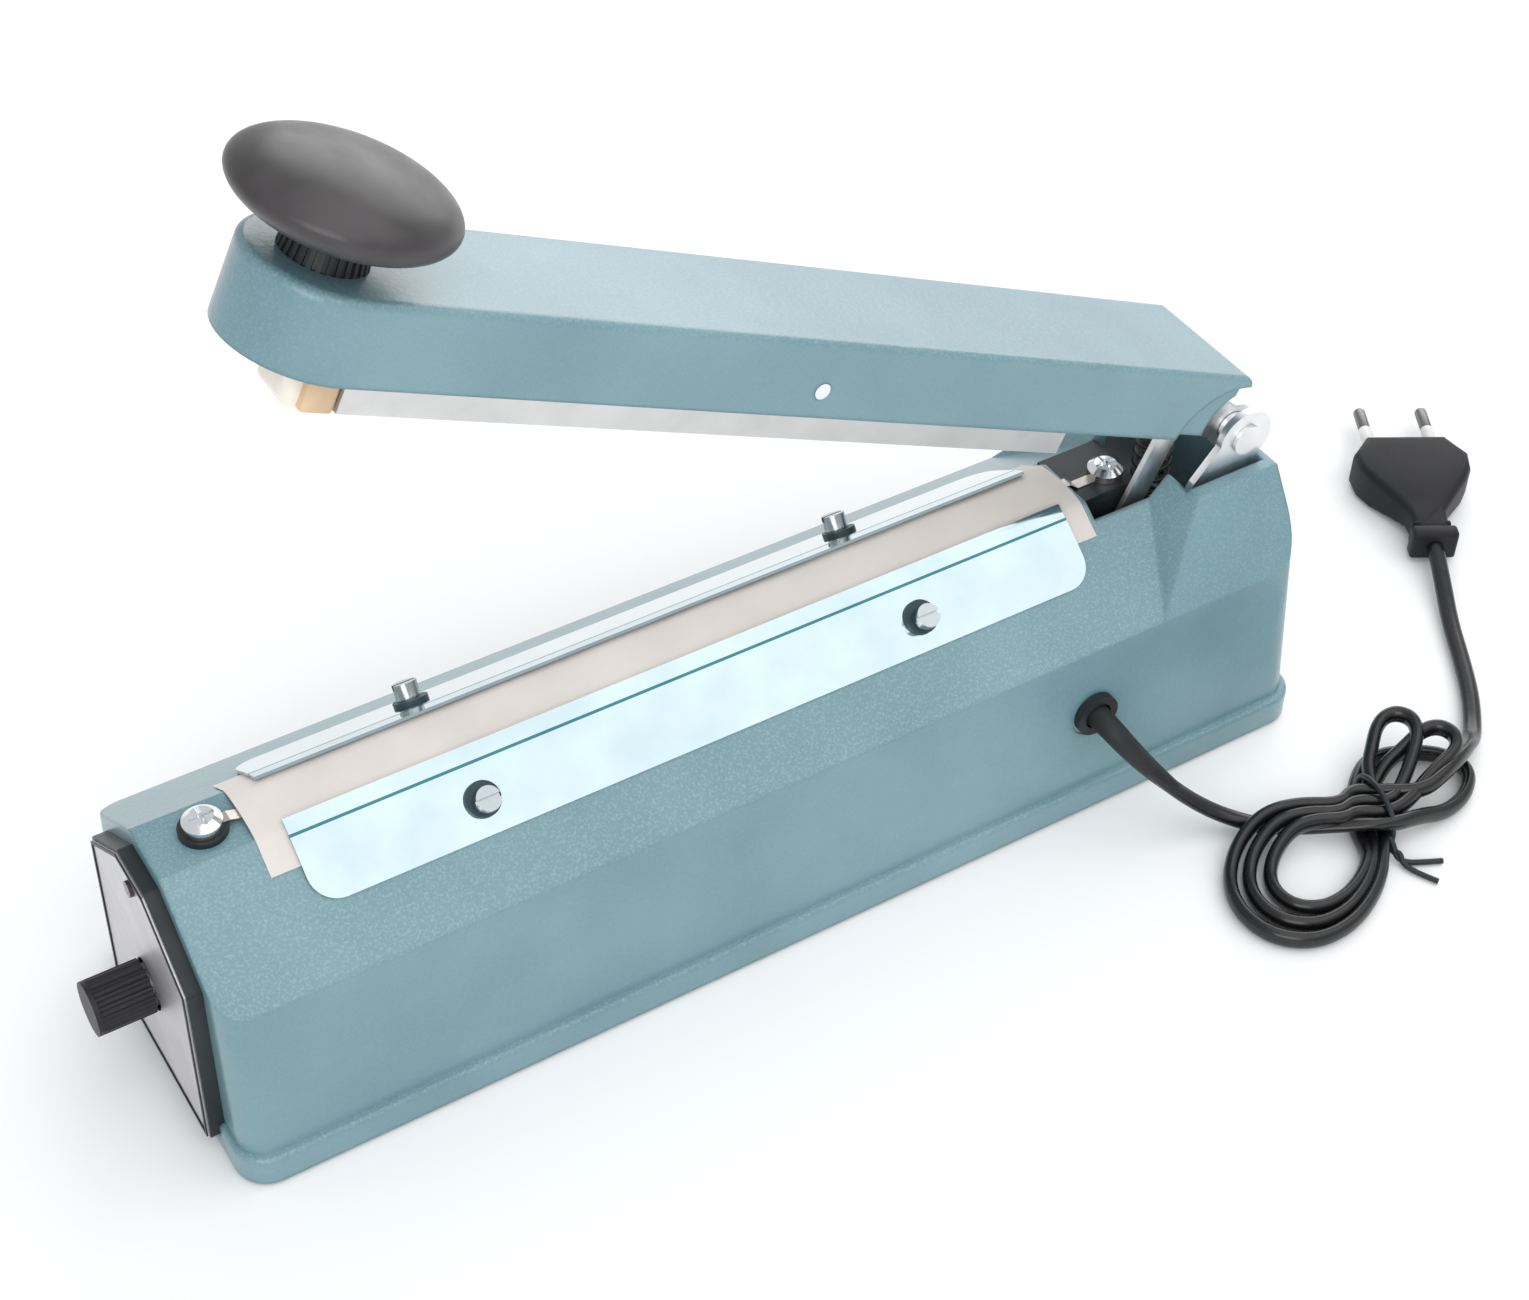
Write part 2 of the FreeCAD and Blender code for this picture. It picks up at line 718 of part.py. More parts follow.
def timer_end():
    """Bezel, printed plate, lamp, timer, its nut, its shaft and the ribbed dial."""
    bezel = prism("bezel_plate", "YZ_Plane", gable_outline("0"), "bezel_thickness",
                  "front_x - bezel_thickness")
    fillet_edges(bezel, "1.5", lambda edge: runs_along(edge, Vector(1, 0, 0)))
    bore = cylinder("bezel_bore", "bushing_radius + fit_gap", "20",
                    "front_x - 10", "0", "dial_z", "X")
    nut_pocket = cylinder("bezel_nut_pocket", "6.6", "5 + bezel_thickness - 1.5",
                          "front_x - bezel_thickness - 5", "0", "dial_z", "X")
    lamp_bore = cylinder("bezel_lamp_bore", "lamp_radius + fit_gap", "20",
                         "front_x - 10", "lamp_side", "lamp_z", "X")
    keep(cut("bezel", bezel, bore, nut_pocket, lamp_bore), "end_bezel")

    label = prism("label_plate", "YZ_Plane", gable_outline("label_inset"),
                  "label_thickness", "front_x - bezel_thickness - label_thickness")
    label_bore = cylinder("label_bore", "6.6", "20", "front_x - 10", "0", "dial_z", "X")
    label_lamp = cylinder("label_lamp_bore", "lamp_radius + fit_gap", "20",
                          "front_x - 10", "lamp_side", "lamp_z", "X")
    keep(cut("label", label, label_bore, label_lamp), "control_label")

    lamp = cylinder("lamp_stem", "lamp_radius", "bezel_thickness + label_thickness + 8",
                    "front_x - bezel_thickness - label_thickness - 1", "lamp_side",
                    "lamp_z", "X")
    keep(lamp, "indicator_lamp")

    case = cylinder("timer_case", "timer_body_radius", "timer_body_length",
                    "front_x + wall_thickness", "0", "dial_z", "X")
    bushing = cylinder("timer_bushing", "bushing_radius",
                       "wall_thickness + bezel_thickness + 1",
                       "front_x - bezel_thickness + 0.2", "0", "dial_z", "X")
    bore = cylinder("timer_bore", "dial_shaft_radius + running_gap",
                    "10 + wall_thickness + 3", "front_x - 10", "0", "dial_z", "X")
    tags = []
    for index in range(3):
        tags.append(box(f"timer_tag_{index}", "0.8", "1.6", "6",
                        "front_x + wall_thickness + timer_body_length - 2",
                        f"{index - 1} * 4", "dial_z - timer_body_radius - 3"))
    keep(cut("timer", fuse("timer_blank", case, bushing, *tags), bore), "timer_potentiometer")

    nut = prism("timer_nut_blank", "YZ_Plane", hexagon("5.6", "0", "dial_z"),
                "2.4", "front_x - 1.5 - 2.4")
    nut_bore = cylinder("timer_nut_bore", "bushing_radius + screw_gap", "20",
                        "front_x - 10", "0", "dial_z", "X")
    keep(cut("timer_nut_part", nut, nut_bore), "timer_nut")

    knob = make_body("dial_knob")
    sketch = make_sketch(knob, "YZ_Plane")
    add_circle(sketch, "0", "0", "dial_radius")
    pad(knob, sketch, "dial_length")
    rib_sketch = make_sketch(knob, "YZ_Plane", "1.2")
    add_circle(rib_sketch, "0", "dial_radius + 0.3", "0.9")
    rib = knob.newObject("PartDesign::Pocket", "dial_groove")
    rib.Profile = rib_sketch
    rib.Reversed = True
    bind(rib, "Length", "dial_length")
    doc.recompute()
    ring = knob.newObject("PartDesign::PolarPattern", "dial_grooves")
    ring.Originals = [rib]
    ring.Axis = ([item for item in knob.Origin.OriginFeatures if item.Role == "X_Axis"][0], [""])
    ring.Angle = 360
    bind(ring, "Occurrences", "dial_ribs")
    knob.Tip = ring
    put(knob, "front_x - front_reach", "0", "dial_z")
    socket = cylinder("dial_socket", "dial_shaft_radius + screw_gap", "dial_length",
                      "front_x - front_reach + 3", "0", "dial_z", "X")
    keep(cut("dial", knob, socket), "timer_dial")
    shaft = cylinder("dial_shaft", "dial_shaft_radius", "front_reach + 2",
                     "front_x - front_reach + 3.1", "0", "dial_z", "X")
    keep(shaft, "timer_shaft")


# ---------------------------------------------------------------- seal bed
def slope_z(half):
    """Height of the roof slope at a distance from the middle."""
    return f"(roof_z - (({half}) - roof_half_width) * roof_slope)"


def strip_outline(points, thickness):
    """Closed outline of a folded sheet, from its lower line and a rise."""
    upper = [(across, f"{up} + {thickness}") for across, up in reversed(points)]
    return points + upper


def pan_screw(name, head_radius, head_height, shank_radius, shank_length):
    """Cross-slotted pan-head screw, seated at its own origin, shank downwards."""
    disc = cylinder(name + "_disc", head_radius, f"({head_height}) * 0.55", "0", "0", "0")
    dome = doc.addObject("Part::Cone", name + "_dome")
    bind(dome, "Radius1", head_radius)
    bind(dome, "Radius2", f"({head_radius}) * 0.62")
    bind(dome, "Height", f"({head_height}) * 0.45")
    put(dome, "0", "0", f"({head_height}) * 0.55")
    shank = cylinder(name + "_shank", shank_radius, f"({shank_length}) + 0.5", "0", "0",
                     f"-({shank_length})")
    long_slot = box(name + "_slot_a", f"({head_radius}) * 1.3", "0.9", "3",
                    f"-({head_radius}) * 0.65", "0", f"({head_height}) * 0.6")
    cross_slot = box(name + "_slot_b", "0.9", f"({head_radius}) * 1.3", "3",
                     "-0.45", "0", f"({head_height}) * 0.6")
    return cut(name, fuse(name + "_blank", disc, dome, shank), long_slot, cross_slot)


def seal_bed():
    """Element bar, ribbon, release cloth, the two retaining plates and their screws."""
    bar = box("bar", "plate_length + 5", "element_bar_width", "element_bar_height",
              "plate_start_x - 2.5", "0", "roof_z - element_bar_sink")
    keep(bar, "element_bar")

    washer_top = "roof_z + terminal_washer_thickness"
    block_top = "block_z + block_height"
    low_line = [
        ("front_x + terminal_x", f"{washer_top} + 0.05"),
        ("front_x + terminal_x + terminal_washer_radius + 0.2", f"{washer_top} + 0.05"),
        ("cloth_start_x - 0.5", "bar_top_z"),
        ("plate_start_x + plate_length + 2.6", "bar_top_z"),
        ("front_x + slot_start - 1", "roof_z + 0.1"),
        ("front_x + slot_start + 0.5", "roof_z + 0.1"),
        ("front_x + slot_start + 3", f"{block_top} + 0.05"),
        ("block_screw_x", f"{block_top} + 0.05"),
    ]
    strip = prism("ribbon_strip", "XZ_Plane", strip_outline(low_line, "ribbon_thickness"),
                  "ribbon_width", "0", True)
    eyes = []
    bores = []
    for index, (place_x, place_z) in enumerate((("front_x + terminal_x", washer_top),
                                                ("block_screw_x", block_top))):
        eyes.append(cylinder(f"ribbon_eye_{index}", "terminal_head_radius", "ribbon_thickness",
                             place_x, "0", f"{place_z} + 0.05"))
        bores.append(cylinder(f"ribbon_bore_{index}", "terminal_screw_radius + screw_gap", "4",
                              place_x, "0", f"{place_z} - 2"))
    keep(cut("ribbon", fuse("ribbon_blank", strip, *eyes), *bores), "heating_element")

    gap = "soft_gap / 3"
    half_line = [
        ("cloth_drop", f"{slope_z('cloth_drop')} + {gap}"),
        ("roof_half_width", f"roof_z + {gap}"),
        ("element_bar_width / 2 + 0.3", f"bar_top_z + {gap}"),
        ("ribbon_width / 2 + 0.3", f"ribbon_top_z + {gap}"),
    ]
    other_half = [(f"-({across})", up) for across, up in half_line]
    low_line = half_line + other_half[::-1]
    cloth = prism("cloth_sheet", "YZ_Plane", strip_outline(low_line, "cloth_thickness"),
                  "cloth_length", "cloth_start_x")
    keep(cloth, "release_cloth")

    low_line = [
        ("-plate_outer_half_width", f"{slope_z('plate_outer_half_width')} + {gap}"),
        ("-plate_crease_half_width", f"{slope_z('plate_crease_half_width')} + 0.8"),
        ("-plate_inner_half_width", "cloth_top_z - 0.1"),
    ]
    plate = prism("plate_near", "YZ_Plane", strip_outline(low_line, "plate_thickness"),
                  "plate_length", "plate_start_x")
    plan = rounded_block("plate_plan", "plate_start_x", "plate_start_x + plate_length",
                         "plate_outer_half_width", "plate_corner_radius",
                         "shoulder_z", "roof_height")
    plate = common("plate_rounded", plate, plan)
    far_plate = mirrored("plate_far", plate, SIDEWAYS)
    for node, blank, wanted in (("near_retaining_plate", plate, -1),
                                ("far_retaining_plate", far_plate, 1)):
        holes = []
        for index, (side, distance) in enumerate(plate_screw_places()):
            if side == wanted:
                holes.append(slope_bore(f"{node}_hole_{index}",
                                        "plate_screw_radius + screw_gap", distance, side))
        keep(cut(node + "_cut", blank, *holes), node)

    screws = []
    for index, (side, distance) in enumerate(plate_screw_places()):
        head = cylinder(f"plate_head_{index}", "plate_screw_head_radius",
                        "plate_screw_head_height", "0", "0", "0")
        shank = cylinder(f"plate_shank_{index}", "plate_screw_radius", "8.5", "0", "0", "-8")
        slot = box(f"plate_slot_{index}", "9", "1.0", "2", "-4.5", "0",
                   "plate_screw_head_height - 1.2")
        screw = cut(f"plate_screw_{index}",
                    fuse(f"plate_screw_blank_{index}", head, shank), slot)
        screws.append(on_slope(screw, distance, side, "plate_thickness + 0.55"))
    keep(group("plate_screws", *screws), "retaining_screws")


def terminals():
    """Front terminal on its insulating bush, and the rear terminal block."""
    place_x = "front_x + terminal_x"
    washer = cylinder("terminal_washer", "terminal_washer_radius", "terminal_washer_thickness",
                      place_x, "0", "roof_z")
    sleeve = cylinder("terminal_sleeve", "terminal_screw_radius + 1.1", "wall_thickness + 0.5",
                      place_x, "0", "roof_z - wall_thickness")
    bore = cylinder("terminal_bore", "terminal_screw_radius + screw_gap", "20",
                    place_x, "0", "roof_z - 10")
    keep(cut("terminal_insulator", fuse("terminal_form", washer, sleeve), bore),
         "terminal_bush")

    nut = prism("terminal_nut_blank", "XY_Plane", hexagon("4.0", place_x, "0"),
                "2.6", "roof_z - wall_thickness - 2.6")
    nut_bore = cylinder("terminal_nut_bore", "terminal_screw_radius + screw_gap", "20",
                        place_x, "0", "roof_z - 12")
    keep(cut("terminal_nut_part", nut, nut_bore), "terminal_nut")

    front = pan_screw("front_terminal_screw", "terminal_head_radius", "terminal_head_height",
                      "terminal_screw_radius", "terminal_washer_thickness + wall_thickness + 4")
    put(front, place_x, "0", "roof_z + terminal_washer_thickness + ribbon_thickness + 0.1")
    rear = pan_screw("rear_terminal_screw", "terminal_head_radius", "terminal_head_height",
                     "terminal_screw_radius", "9")
    put(rear, "block_screw_x", "0", "block_z + block_height + ribbon_thickness + 0.1")
    keep(group("terminal_screw_pair", front, rear), "terminal_screws")

    block = box("block_blank", "block_length", "block_width", "block_height",
                "front_x + slot_start + fit_gap * 3",
                "slot_half_width - fit_gap * 3 - block_width / 2", "block_z")
    block_bore = cylinder("block_bore", "terminal_screw_radius + screw_gap", "12",
                          "block_screw_x", "0", "block_z + block_height - 10")
    keep(cut("block", block, block_bore), "terminal_block")


# ---------------------------------------------------------------- hinge on the base
def seat_screw_places():
    """Two screws under the front bosses and two on the rear ledge."""
    for side in ("-", ""):
        yield "front_x + slot_start - 8", f"{side}14", "front"
    for side in ("-", ""):
        yield "rear_x - rear_draft - wall_thickness - 6", f"{side}10", "rear"


def hinge_base():
    """Steel seat with two uprights, its screws, the pin, its clip and the spacers."""
    upright = make_body("seat_upright")
    sketch = make_sketch(upright, "XZ_Plane", "seat_half_width - seat_thickness")
    add_polygon(sketch, [
        ("pivot_x - 18", "seat_base_z"),
        ("pivot_x + seat_side_reach", "seat_base_z"),
        ("pivot_x + seat_side_reach", "pivot_z"),
        ("pivot_x - seat_top_radius", "pivot_z"),
        ("pivot_x - 15.3", "pivot_z - 8.8"),
        ("pivot_x - 18", "pivot_z - 14"),
    ])
    pad(upright, sketch, "seat_thickness")
    round_sketch = make_sketch(upright, "XZ_Plane", "seat_half_width - seat_thickness")
    add_circle(round_sketch, "pivot_x", "pivot_z", "seat_top_radius")
    pad(upright, round_sketch, "seat_thickness")
    far_upright = mirrored("seat_upright_far", upright, SIDEWAYS)
    floor_start = "front_x + slot_start - 13"
    floor = box("seat_floor", "pivot_x + seat_side_reach - (front_x + slot_start - 13)",
                "seat_half_width * 2", "seat_thickness", floor_start, "0", "seat_base_z")
    pin_bore = cylinder("seat_pin_bore", "pin_radius + screw_gap", "60",
                        "pivot_x", "-30", "pivot_z", "Y")
    bores = []
    screws = []
    for index, (place_x, place_y, end) in enumerate(seat_screw_places()):
        bores.append(cylinder(f"seat_bore_{index}", "2.05", "10", place_x, place_y,
                              "seat_base_z - 4"))
        screw = pan_screw(f"seat_screw_{index}", "3.6", "2.4", "2.0", "9")
        if end == "front":
            screw.Placement.Rotation = Rotation(Vector(1, 0, 0), 180)
            put(screw, place_x, place_y, "seat_base_z")
        else:
            put(screw, place_x, place_y, "seat_base_z + seat_thickness")
        screws.append(screw)
    seat = cut("seat", fuse("seat_form", floor, upright, far_upright), pin_bore, *bores)
    keep(seat, "hinge_seat")
    keep(group("seat_screws", *screws), "hinge_seat_screws")

    shaft = cylinder("pin_shaft", "pin_radius", "seat_half_width * 2 + 1.2",
                     "pivot_x", "-(seat_half_width + 0.1)", "pivot_z", "Y")
    head = cylinder("pin_head", "pin_radius + 1.2", "1.0",
                    "pivot_x", "-(seat_half_width + 1.05)", "pivot_z", "Y")
    keep(fuse("pin", shaft, head), "hinge_pin")
    clip = cylinder("clip_ring", "pin_radius + 1.2", "0.8",
                    "pivot_x", "seat_half_width + 0.05", "pivot_z", "Y")
    clip_bore = cylinder("clip_bore", "pin_radius + screw_gap", "4",
                         "pivot_x", "seat_half_width - 1", "pivot_z", "Y")
    keep(cut("clip", clip, clip_bore), "pin_clip")

    spacers = []
    gap = "seat_half_width - seat_thickness - bracket_half_width"
    for side, start in (("near", f"-(seat_half_width - seat_thickness) + {0.05}"),
                        ("far", "bracket_half_width + 0.15")):
        tube = cylinder(f"spacer_{side}", "pin_radius + 1.4", f"{gap} - 0.2",
                        "pivot_x", start, "pivot_z", "Y")
        tube_bore = cylinder(f"spacer_bore_{side}", "pin_radius + screw_gap", "60",
                             "pivot_x", "-30", "pivot_z", "Y")
        spacers.append(cut(f"spacer_tube_{side}", tube, tube_bore))
    keep(group("spacers", *spacers), "pivot_spacers")


def return_spring():
    """Compression coil that lifts the arm, standing on the seat's floor."""
    coil = doc.addObject("Part::Helix", "spring_line")
    bind(coil, "Radius", "spring_radius")
    bind(coil, "Height", "spring_length - spring_wire_radius * 2")
    bind(coil, "Pitch", "(spring_length - spring_wire_radius * 2) / 11")
    wire = doc.addObject("Part::Circle", "spring_wire")
    bind(wire, "Radius", "spring_wire_radius")
    wire.Placement = Placement(Vector(0, 0, 0), Rotation(Vector(1, 0, 0), 90))
    bind(wire, "Placement.Base.x", "spring_radius")
    sweep = doc.addObject("Part::Sweep", "spring_coil")
    sweep.Sections = [wire]
    sweep.Spine = (coil, [])
    sweep.Solid = True
    sweep.Frenet = True
    put(sweep, "pivot_x - spring_distance", "0",
        "seat_base_z + seat_thickness + spring_wire_radius + 0.02")
    keep(sweep, "return_spring")


# ---------------------------------------------------------------- arm, in its own frame
def stadium(name, wall, rear, bottom, height):
    """Long block with a half-round front end, inset by a wall."""
    centre = "-(arm_tip - arm_half_width)"
    half = f"(arm_half_width - {wall})"
    body = make_body(name)
    sketch = make_sketch(body, "XY_Plane", bottom)
    add_polygon(sketch, [(centre, f"-{half}"), (rear, f"-{half}"), (rear, half),
                         (centre, half)])
    pad(body, sketch, height)
    round_sketch = make_sketch(body, "XY_Plane", bottom)
    add_circle(round_sketch, centre, "0", half)
    pad(body, round_sketch, height)
    return body


def arm_parts():
    """Arm shell with its scoops, press bar, strip, pins, bracket, knob and fixings."""
    outer = stadium("arm_outer", "0", "-arm_tail", "arm_bottom", "arm_top - arm_bottom")
    top = value_of("arm_top")
    fillet_edges(outer, "arm_edge_radius", lambda edge: edge.BoundBox.ZMin > top - 0.01)
    inner = stadium("arm_inner", "arm_wall", "-(scoop_radius + 12)", "arm_bottom - 1",
                    "arm_top - arm_bottom - arm_wall + 1")
    tail = box("arm_tail_cavity", "scoop_radius + 14 - arm_tail - arm_wall",
               "(scoop_half_width - arm_wall) * 2", "arm_top - arm_bottom - arm_wall + 1",
               "-(scoop_radius + 14)", "0", "arm_bottom - 1")
    scoops = []
    for side, start in (("near", "-scoop_half_width - 20"), ("far", "scoop_half_width")):
        scoops.append(cylinder(f"scoop_{side}", "scoop_radius", "20", "-7", start, "-4", "Y"))
    pivot_room = cylinder("pivot_room", "13.5", "80", "0", "-40", "0", "Y")
    bar_pin_bore = cylinder("arm_pin_bore", "bar_pin_radius + screw_gap", "80",
                            "-bar_pin_distance", "-40", "bar_pin_height", "Y")
    knob_bore = cylinder("arm_knob_bore", "2.55", "40", "-knob_distance", "0", "0")
    bosses = []
    pilots = []
    screws = []
    for index, place in enumerate(("-bracket_length + 8", "-bracket_length + 23")):
        bosses.append(cylinder(f"arm_boss_{index}", "4", "arm_top - bracket_top - 1",
                               place, "0", "bracket_top"))
        pilots.append(cylinder(f"arm_pilot_{index}", "1.55", "arm_top - bracket_top - 0.9",
                               place, "0", "bracket_top - 0.5"))
        screw = pan_screw(f"bracket_screw_{index}", "3.0", "2.2", "1.5",
                          "arm_top - bracket_top - 1")
        screw.Placement.Rotation = Rotation(Vector(1, 0, 0), 180)
        put(screw, place, "0", "bracket_top - bracket_thickness")
        screws.append(screw)
    hollow = cut("arm_hollow", outer, inner, tail, *scoops, pivot_room)
    shell = cut("arm_form", fuse("arm_with_bosses", hollow, *bosses),
                bar_pin_bore, knob_bore, *pilots)
    keep(on_arm(shell), "arm_shell")
    keep(on_arm(group("bracket_screw_pair", *screws)), "arm_bracket_screws")

    web = box("bracket_web", "bracket_length - arm_tail - arm_wall - 0.5",
              "bracket_half_width * 2", "bracket_thickness", "-bracket_length", "0",
              "bracket_top - bracket_thickness")
    cheek = make_body("bracket_cheek")
    sketch = make_sketch(cheek, "XZ_Plane", "bracket_half_width - bracket_thickness")
    add_polygon(sketch, [
        ("-bracket_length", "bracket_top"),
        ("-bracket_length", "bracket_top - 6"),
        ("-26", "0"),
        ("-4", "-bracket_nose_radius * 0.7"),
        ("3", "bracket_nose_radius * 0.7"),
        ("-6", "7.2"),
        ("-(arm_tail + arm_wall + 0.5)", "8.4"),
        ("-(arm_tail + arm_wall + 0.5)", "bracket_top"),
    ])
    pad(cheek, sketch, "bracket_thickness")
    nose = make_sketch(cheek, "XZ_Plane", "bracket_half_width - bracket_thickness")
    add_circle(nose, "0", "0", "bracket_nose_radius")
    pad(cheek, nose, "bracket_thickness")
    far_cheek = mirrored("bracket_cheek_far", cheek, SIDEWAYS)
    leg = box("push_leg", "push_leg_width", "1.5", "push_leg_drop + bracket_top - 0.5",
              "-push_leg_distance", "-(push_leg_side + 0.75)", "-push_leg_drop")
    spring_pad = box("spring_pad", "8", "(bracket_half_width - 0.5) * 2", "1.5",
                     "-(spring_distance + 4)", "0", "-1")
    pivot_bore = cylinder("bracket_pivot_bore", "pin_radius + running_gap", "60",
                          "0", "-30", "0", "Y")
    screw_bores = []
    for index, place in enumerate(("-bracket_length + 8", "-bracket_length + 23")):
        screw_bores.append(cylinder(f"bracket_bore_{index}", "1.55", "20", place, "0", "0"))
    bracket = cut("bracket", fuse("bracket_form", web, cheek, far_cheek, leg, spring_pad),
                  pivot_bore, *screw_bores)
    keep(on_arm(bracket), "arm_bracket")

    half, wall = "bar_half_width", "bar_wall"
    channel = prism("bar_channel", "YZ_Plane", [
        (f"-{half}", "bar_bottom"), (f"-{half}", "bar_top"), (half, "bar_top"),
        (half, "bar_bottom"), (f"{half} - {wall}", "bar_bottom"),
        (f"{half} - {wall}", f"bar_top - {wall}"), (f"-{half} + {wall}", f"bar_top - {wall}"),
        (f"-{half} + {wall}", "bar_bottom"),
    ], "bar_front - bar_rear", "-bar_front")
    lugs = []
    for side in (-1, 1):
        lugs.append(box(f"bar_lug_{side + 1}", "12", "2", "bar_pin_height + 4.5 - bar_top + 0.5",
                        "-(bar_pin_distance + 6)", f"{side} * 6", "bar_top - 0.5"))
    lug_bore = cylinder("lug_bore", "bar_pin_radius + running_gap", "60",
                        "-bar_pin_distance", "-30", "bar_pin_height", "Y")
    keep(on_arm(cut("bar_with_lugs", fuse("bar_form", channel, *lugs), lug_bore)), "press_bar")
    strip = box("strip", "bar_front + strip_overhang - bar_rear",
                "strip_half_width * 2", "bar_top - bar_wall - 0.05 - strip_bottom",
                "-(bar_front + strip_overhang)", "0", "strip_bottom")
    keep(on_arm(strip), "silicone_strip")
    pin = cylinder("bar_pin", "bar_pin_radius", "arm_half_width * 2 + 0.2",
                   "-bar_pin_distance", "-(arm_half_width + 0.1)", "bar_pin_height", "Y")
    keep(on_arm(pin), "press_bar_pin")

    knob_place = "-knob_distance"
    collar = cylinder("collar_blank", "collar_radius", "collar_height", knob_place, "0",
                      "arm_top")
    collar_bore = cylinder("collar_bore", "2.55", "20", knob_place, "0", "arm_top - 5")
    keep(on_arm(cut("collar", collar, collar_bore)), "knob_collar")
    dome = doc.addObject("Part::Ellipsoid", "knob_dome")
    bind(dome, "Radius1", "knob_half_height")
    bind(dome, "Radius2", "knob_radius")
    bind(dome, "Radius3", "knob_radius")
    put(dome, knob_place, "0", "knob_centre")
    neck = cylinder("knob_neck", "knob_neck_radius",
                    "knob_centre - arm_top - collar_height", knob_place, "0",
                    "arm_top + collar_height")
    under = cylinder("knob_under", "collar_radius + 4", "10", knob_place, "0",
                     "arm_top + collar_height - 10")
    screw_hole = cylinder("knob_screw_hole", "2.55", "30", knob_place, "0", "0")
    keep(on_arm(cut("knob", fuse("knob_form", dome, neck), under, screw_hole)), "arm_knob")
    screw = pan_screw("knob_screw_form", "4.5", "2.8", "2.5", "arm_wall + 12")
    screw.Placement.Rotation = Rotation(Vector(1, 0, 0), 180)
    put(screw, knob_place, "0", "arm_top - arm_wall")
    keep(on_arm(screw), "knob_screw")


# ---------------------------------------------------------------- inside the housing
def transformer():
    """Laminated core, its winding, and the strap that holds it to the cover."""
    low_z = "cover_top_z + strap_thickness"
    middle_x = "core_x"
    core = box("core_block", "core_length", "core_depth", "core_height",
               f"{middle_x} - core_length / 2", "0", low_z)
    window_height = "(core_height - core_window * 2)"
    windows = []
    for side in (-1, 1):
        centre = f"{middle_x} + {side} * core_length / 4"
        windows.append(box(f"core_window_{side + 1}", "core_window", "core_depth + 2",
                           window_height, f"{centre} - core_window / 2", "0",
                           f"{low_z} + core_window"))
    keep(cut("core", core, *windows), "transformer_core")

    leg = "(core_length / 2 - core_window)"
    reach = "(core_window - 1)"
    winding = box("winding_block", f"{leg} + {reach} * 2", f"core_depth + {reach} * 2",
                  f"{window_height} - 0.6", f"{middle_x} - {leg} / 2 - {reach}", "0",
                  f"{low_z} + core_window + 0.3")
    bore = box("winding_bore", f"{leg} + 0.4", "core_depth + 0.4", "core_height",
               f"{middle_x} - {leg} / 2 - 0.2", "0", low_z)
    keep(cut("winding", winding, bore), "transformer_winding")

    outer = box("strap_outer", "core_length + strap_thickness * 2 + 0.4", "14",
                "core_height + strap_thickness + 0.1",
                f"{middle_x} - core_length / 2 - strap_thickness - 0.2", "0",
                f"{low_z}")
    inner = box("strap_inner", "core_length + 0.4", "20", "core_height + 0.1",
                f"{middle_x} - core_length / 2 - 0.2", "0", f"{low_z}")
    feet = box("strap_feet", "core_length + 24", "14", "strap_thickness",
               f"{middle_x} - core_length / 2 - 12", "0", "cover_top_z")
    bores = []
    screws = []
    for side in (-1, 1):
        place_x = f"{middle_x} + {side} * (core_length / 2 + 7)"
        bores.append(cylinder(f"strap_bore_{side + 1}", "1.55", "10", place_x, "0",
                              "cover_top_z - 2"))
        screw = pan_screw(f"strap_screw_{side + 1}", "3.0", "2.0", "1.5",
                          "strap_thickness + 0.0")
        put(screw, place_x, "0", "cover_top_z + strap_thickness")
        screws.append(screw)
    strap = cut("strap_blank", outer, inner)
    keep(cut("strap", fuse("strap_form", strap, feet), *bores), "transformer_strap")
    keep(group("strap_screws", *screws), "strap_screws")


def circuit():
    """Timer board on posts, with its relay, capacitors and supply resistor."""
    start = "front_x + wall_thickness + timer_body_length + 12"
    board_z = "cover_top_z + 8"
    board = box("board_blank", "62", "50", "1.6", start, "0", board_z)
    posts = []
    for end in (5, 57):
        for side in (-1, 1):
            posts.append(cylinder(f"board_post_{end}_{side + 1}", "2.5", "8",
                                  f"{start} + {end}", f"{side} * 20", "cover_top_z"))
    keep(board, "circuit_board")
    keep(group("board_posts", *posts), "board_posts")
    top_z = f"{board_z} + 1.6"
    relay = box("relay", "20", "16", "16", f"{start} + 36", "-12", top_z)
    capacitors = [cylinder("capacitor_big", "5.5", "18", f"{start} + 14", "12", top_z),
                  cylinder("capacitor_small", "3.5", "11", f"{start} + 27", "13", top_z)]
    resistor = cylinder("resistor", "2.2", "12", f"{start} + 10", "-10", f"{top_z} + 2.2", "X")
    keep(group("board_components", relay, resistor, *capacitors), "board_components")


def micro_switch():
    """Switch on the hinge seat's floor, and the leaf that the arm's leg comes down on."""
    floor_z = "block_z"
    keep(box("switch_body", "15", "6.4", "7.7", "switch_x - 14", "-8.7", floor_z),
         "micro_switch")
    leaf = box("leaf_blank", "14", "3.6", "0.5", "-14", "-8.7", "-0.25")
    knuckle = cylinder("leaf_knuckle", "0.9", "3.6", "0", "-10.5", "0", "Y")
    leaf_form = fuse("leaf", leaf, knuckle)
    leaf_form.Placement.Rotation = Rotation(Vector(0, 1, 0), 15)
    bind(leaf_form, "Placement.Rotation.Angle", "leaf_angle")
    put(leaf_form, "switch_x", "0", "leaf_z")
    keep(leaf_form, "switch_lever")



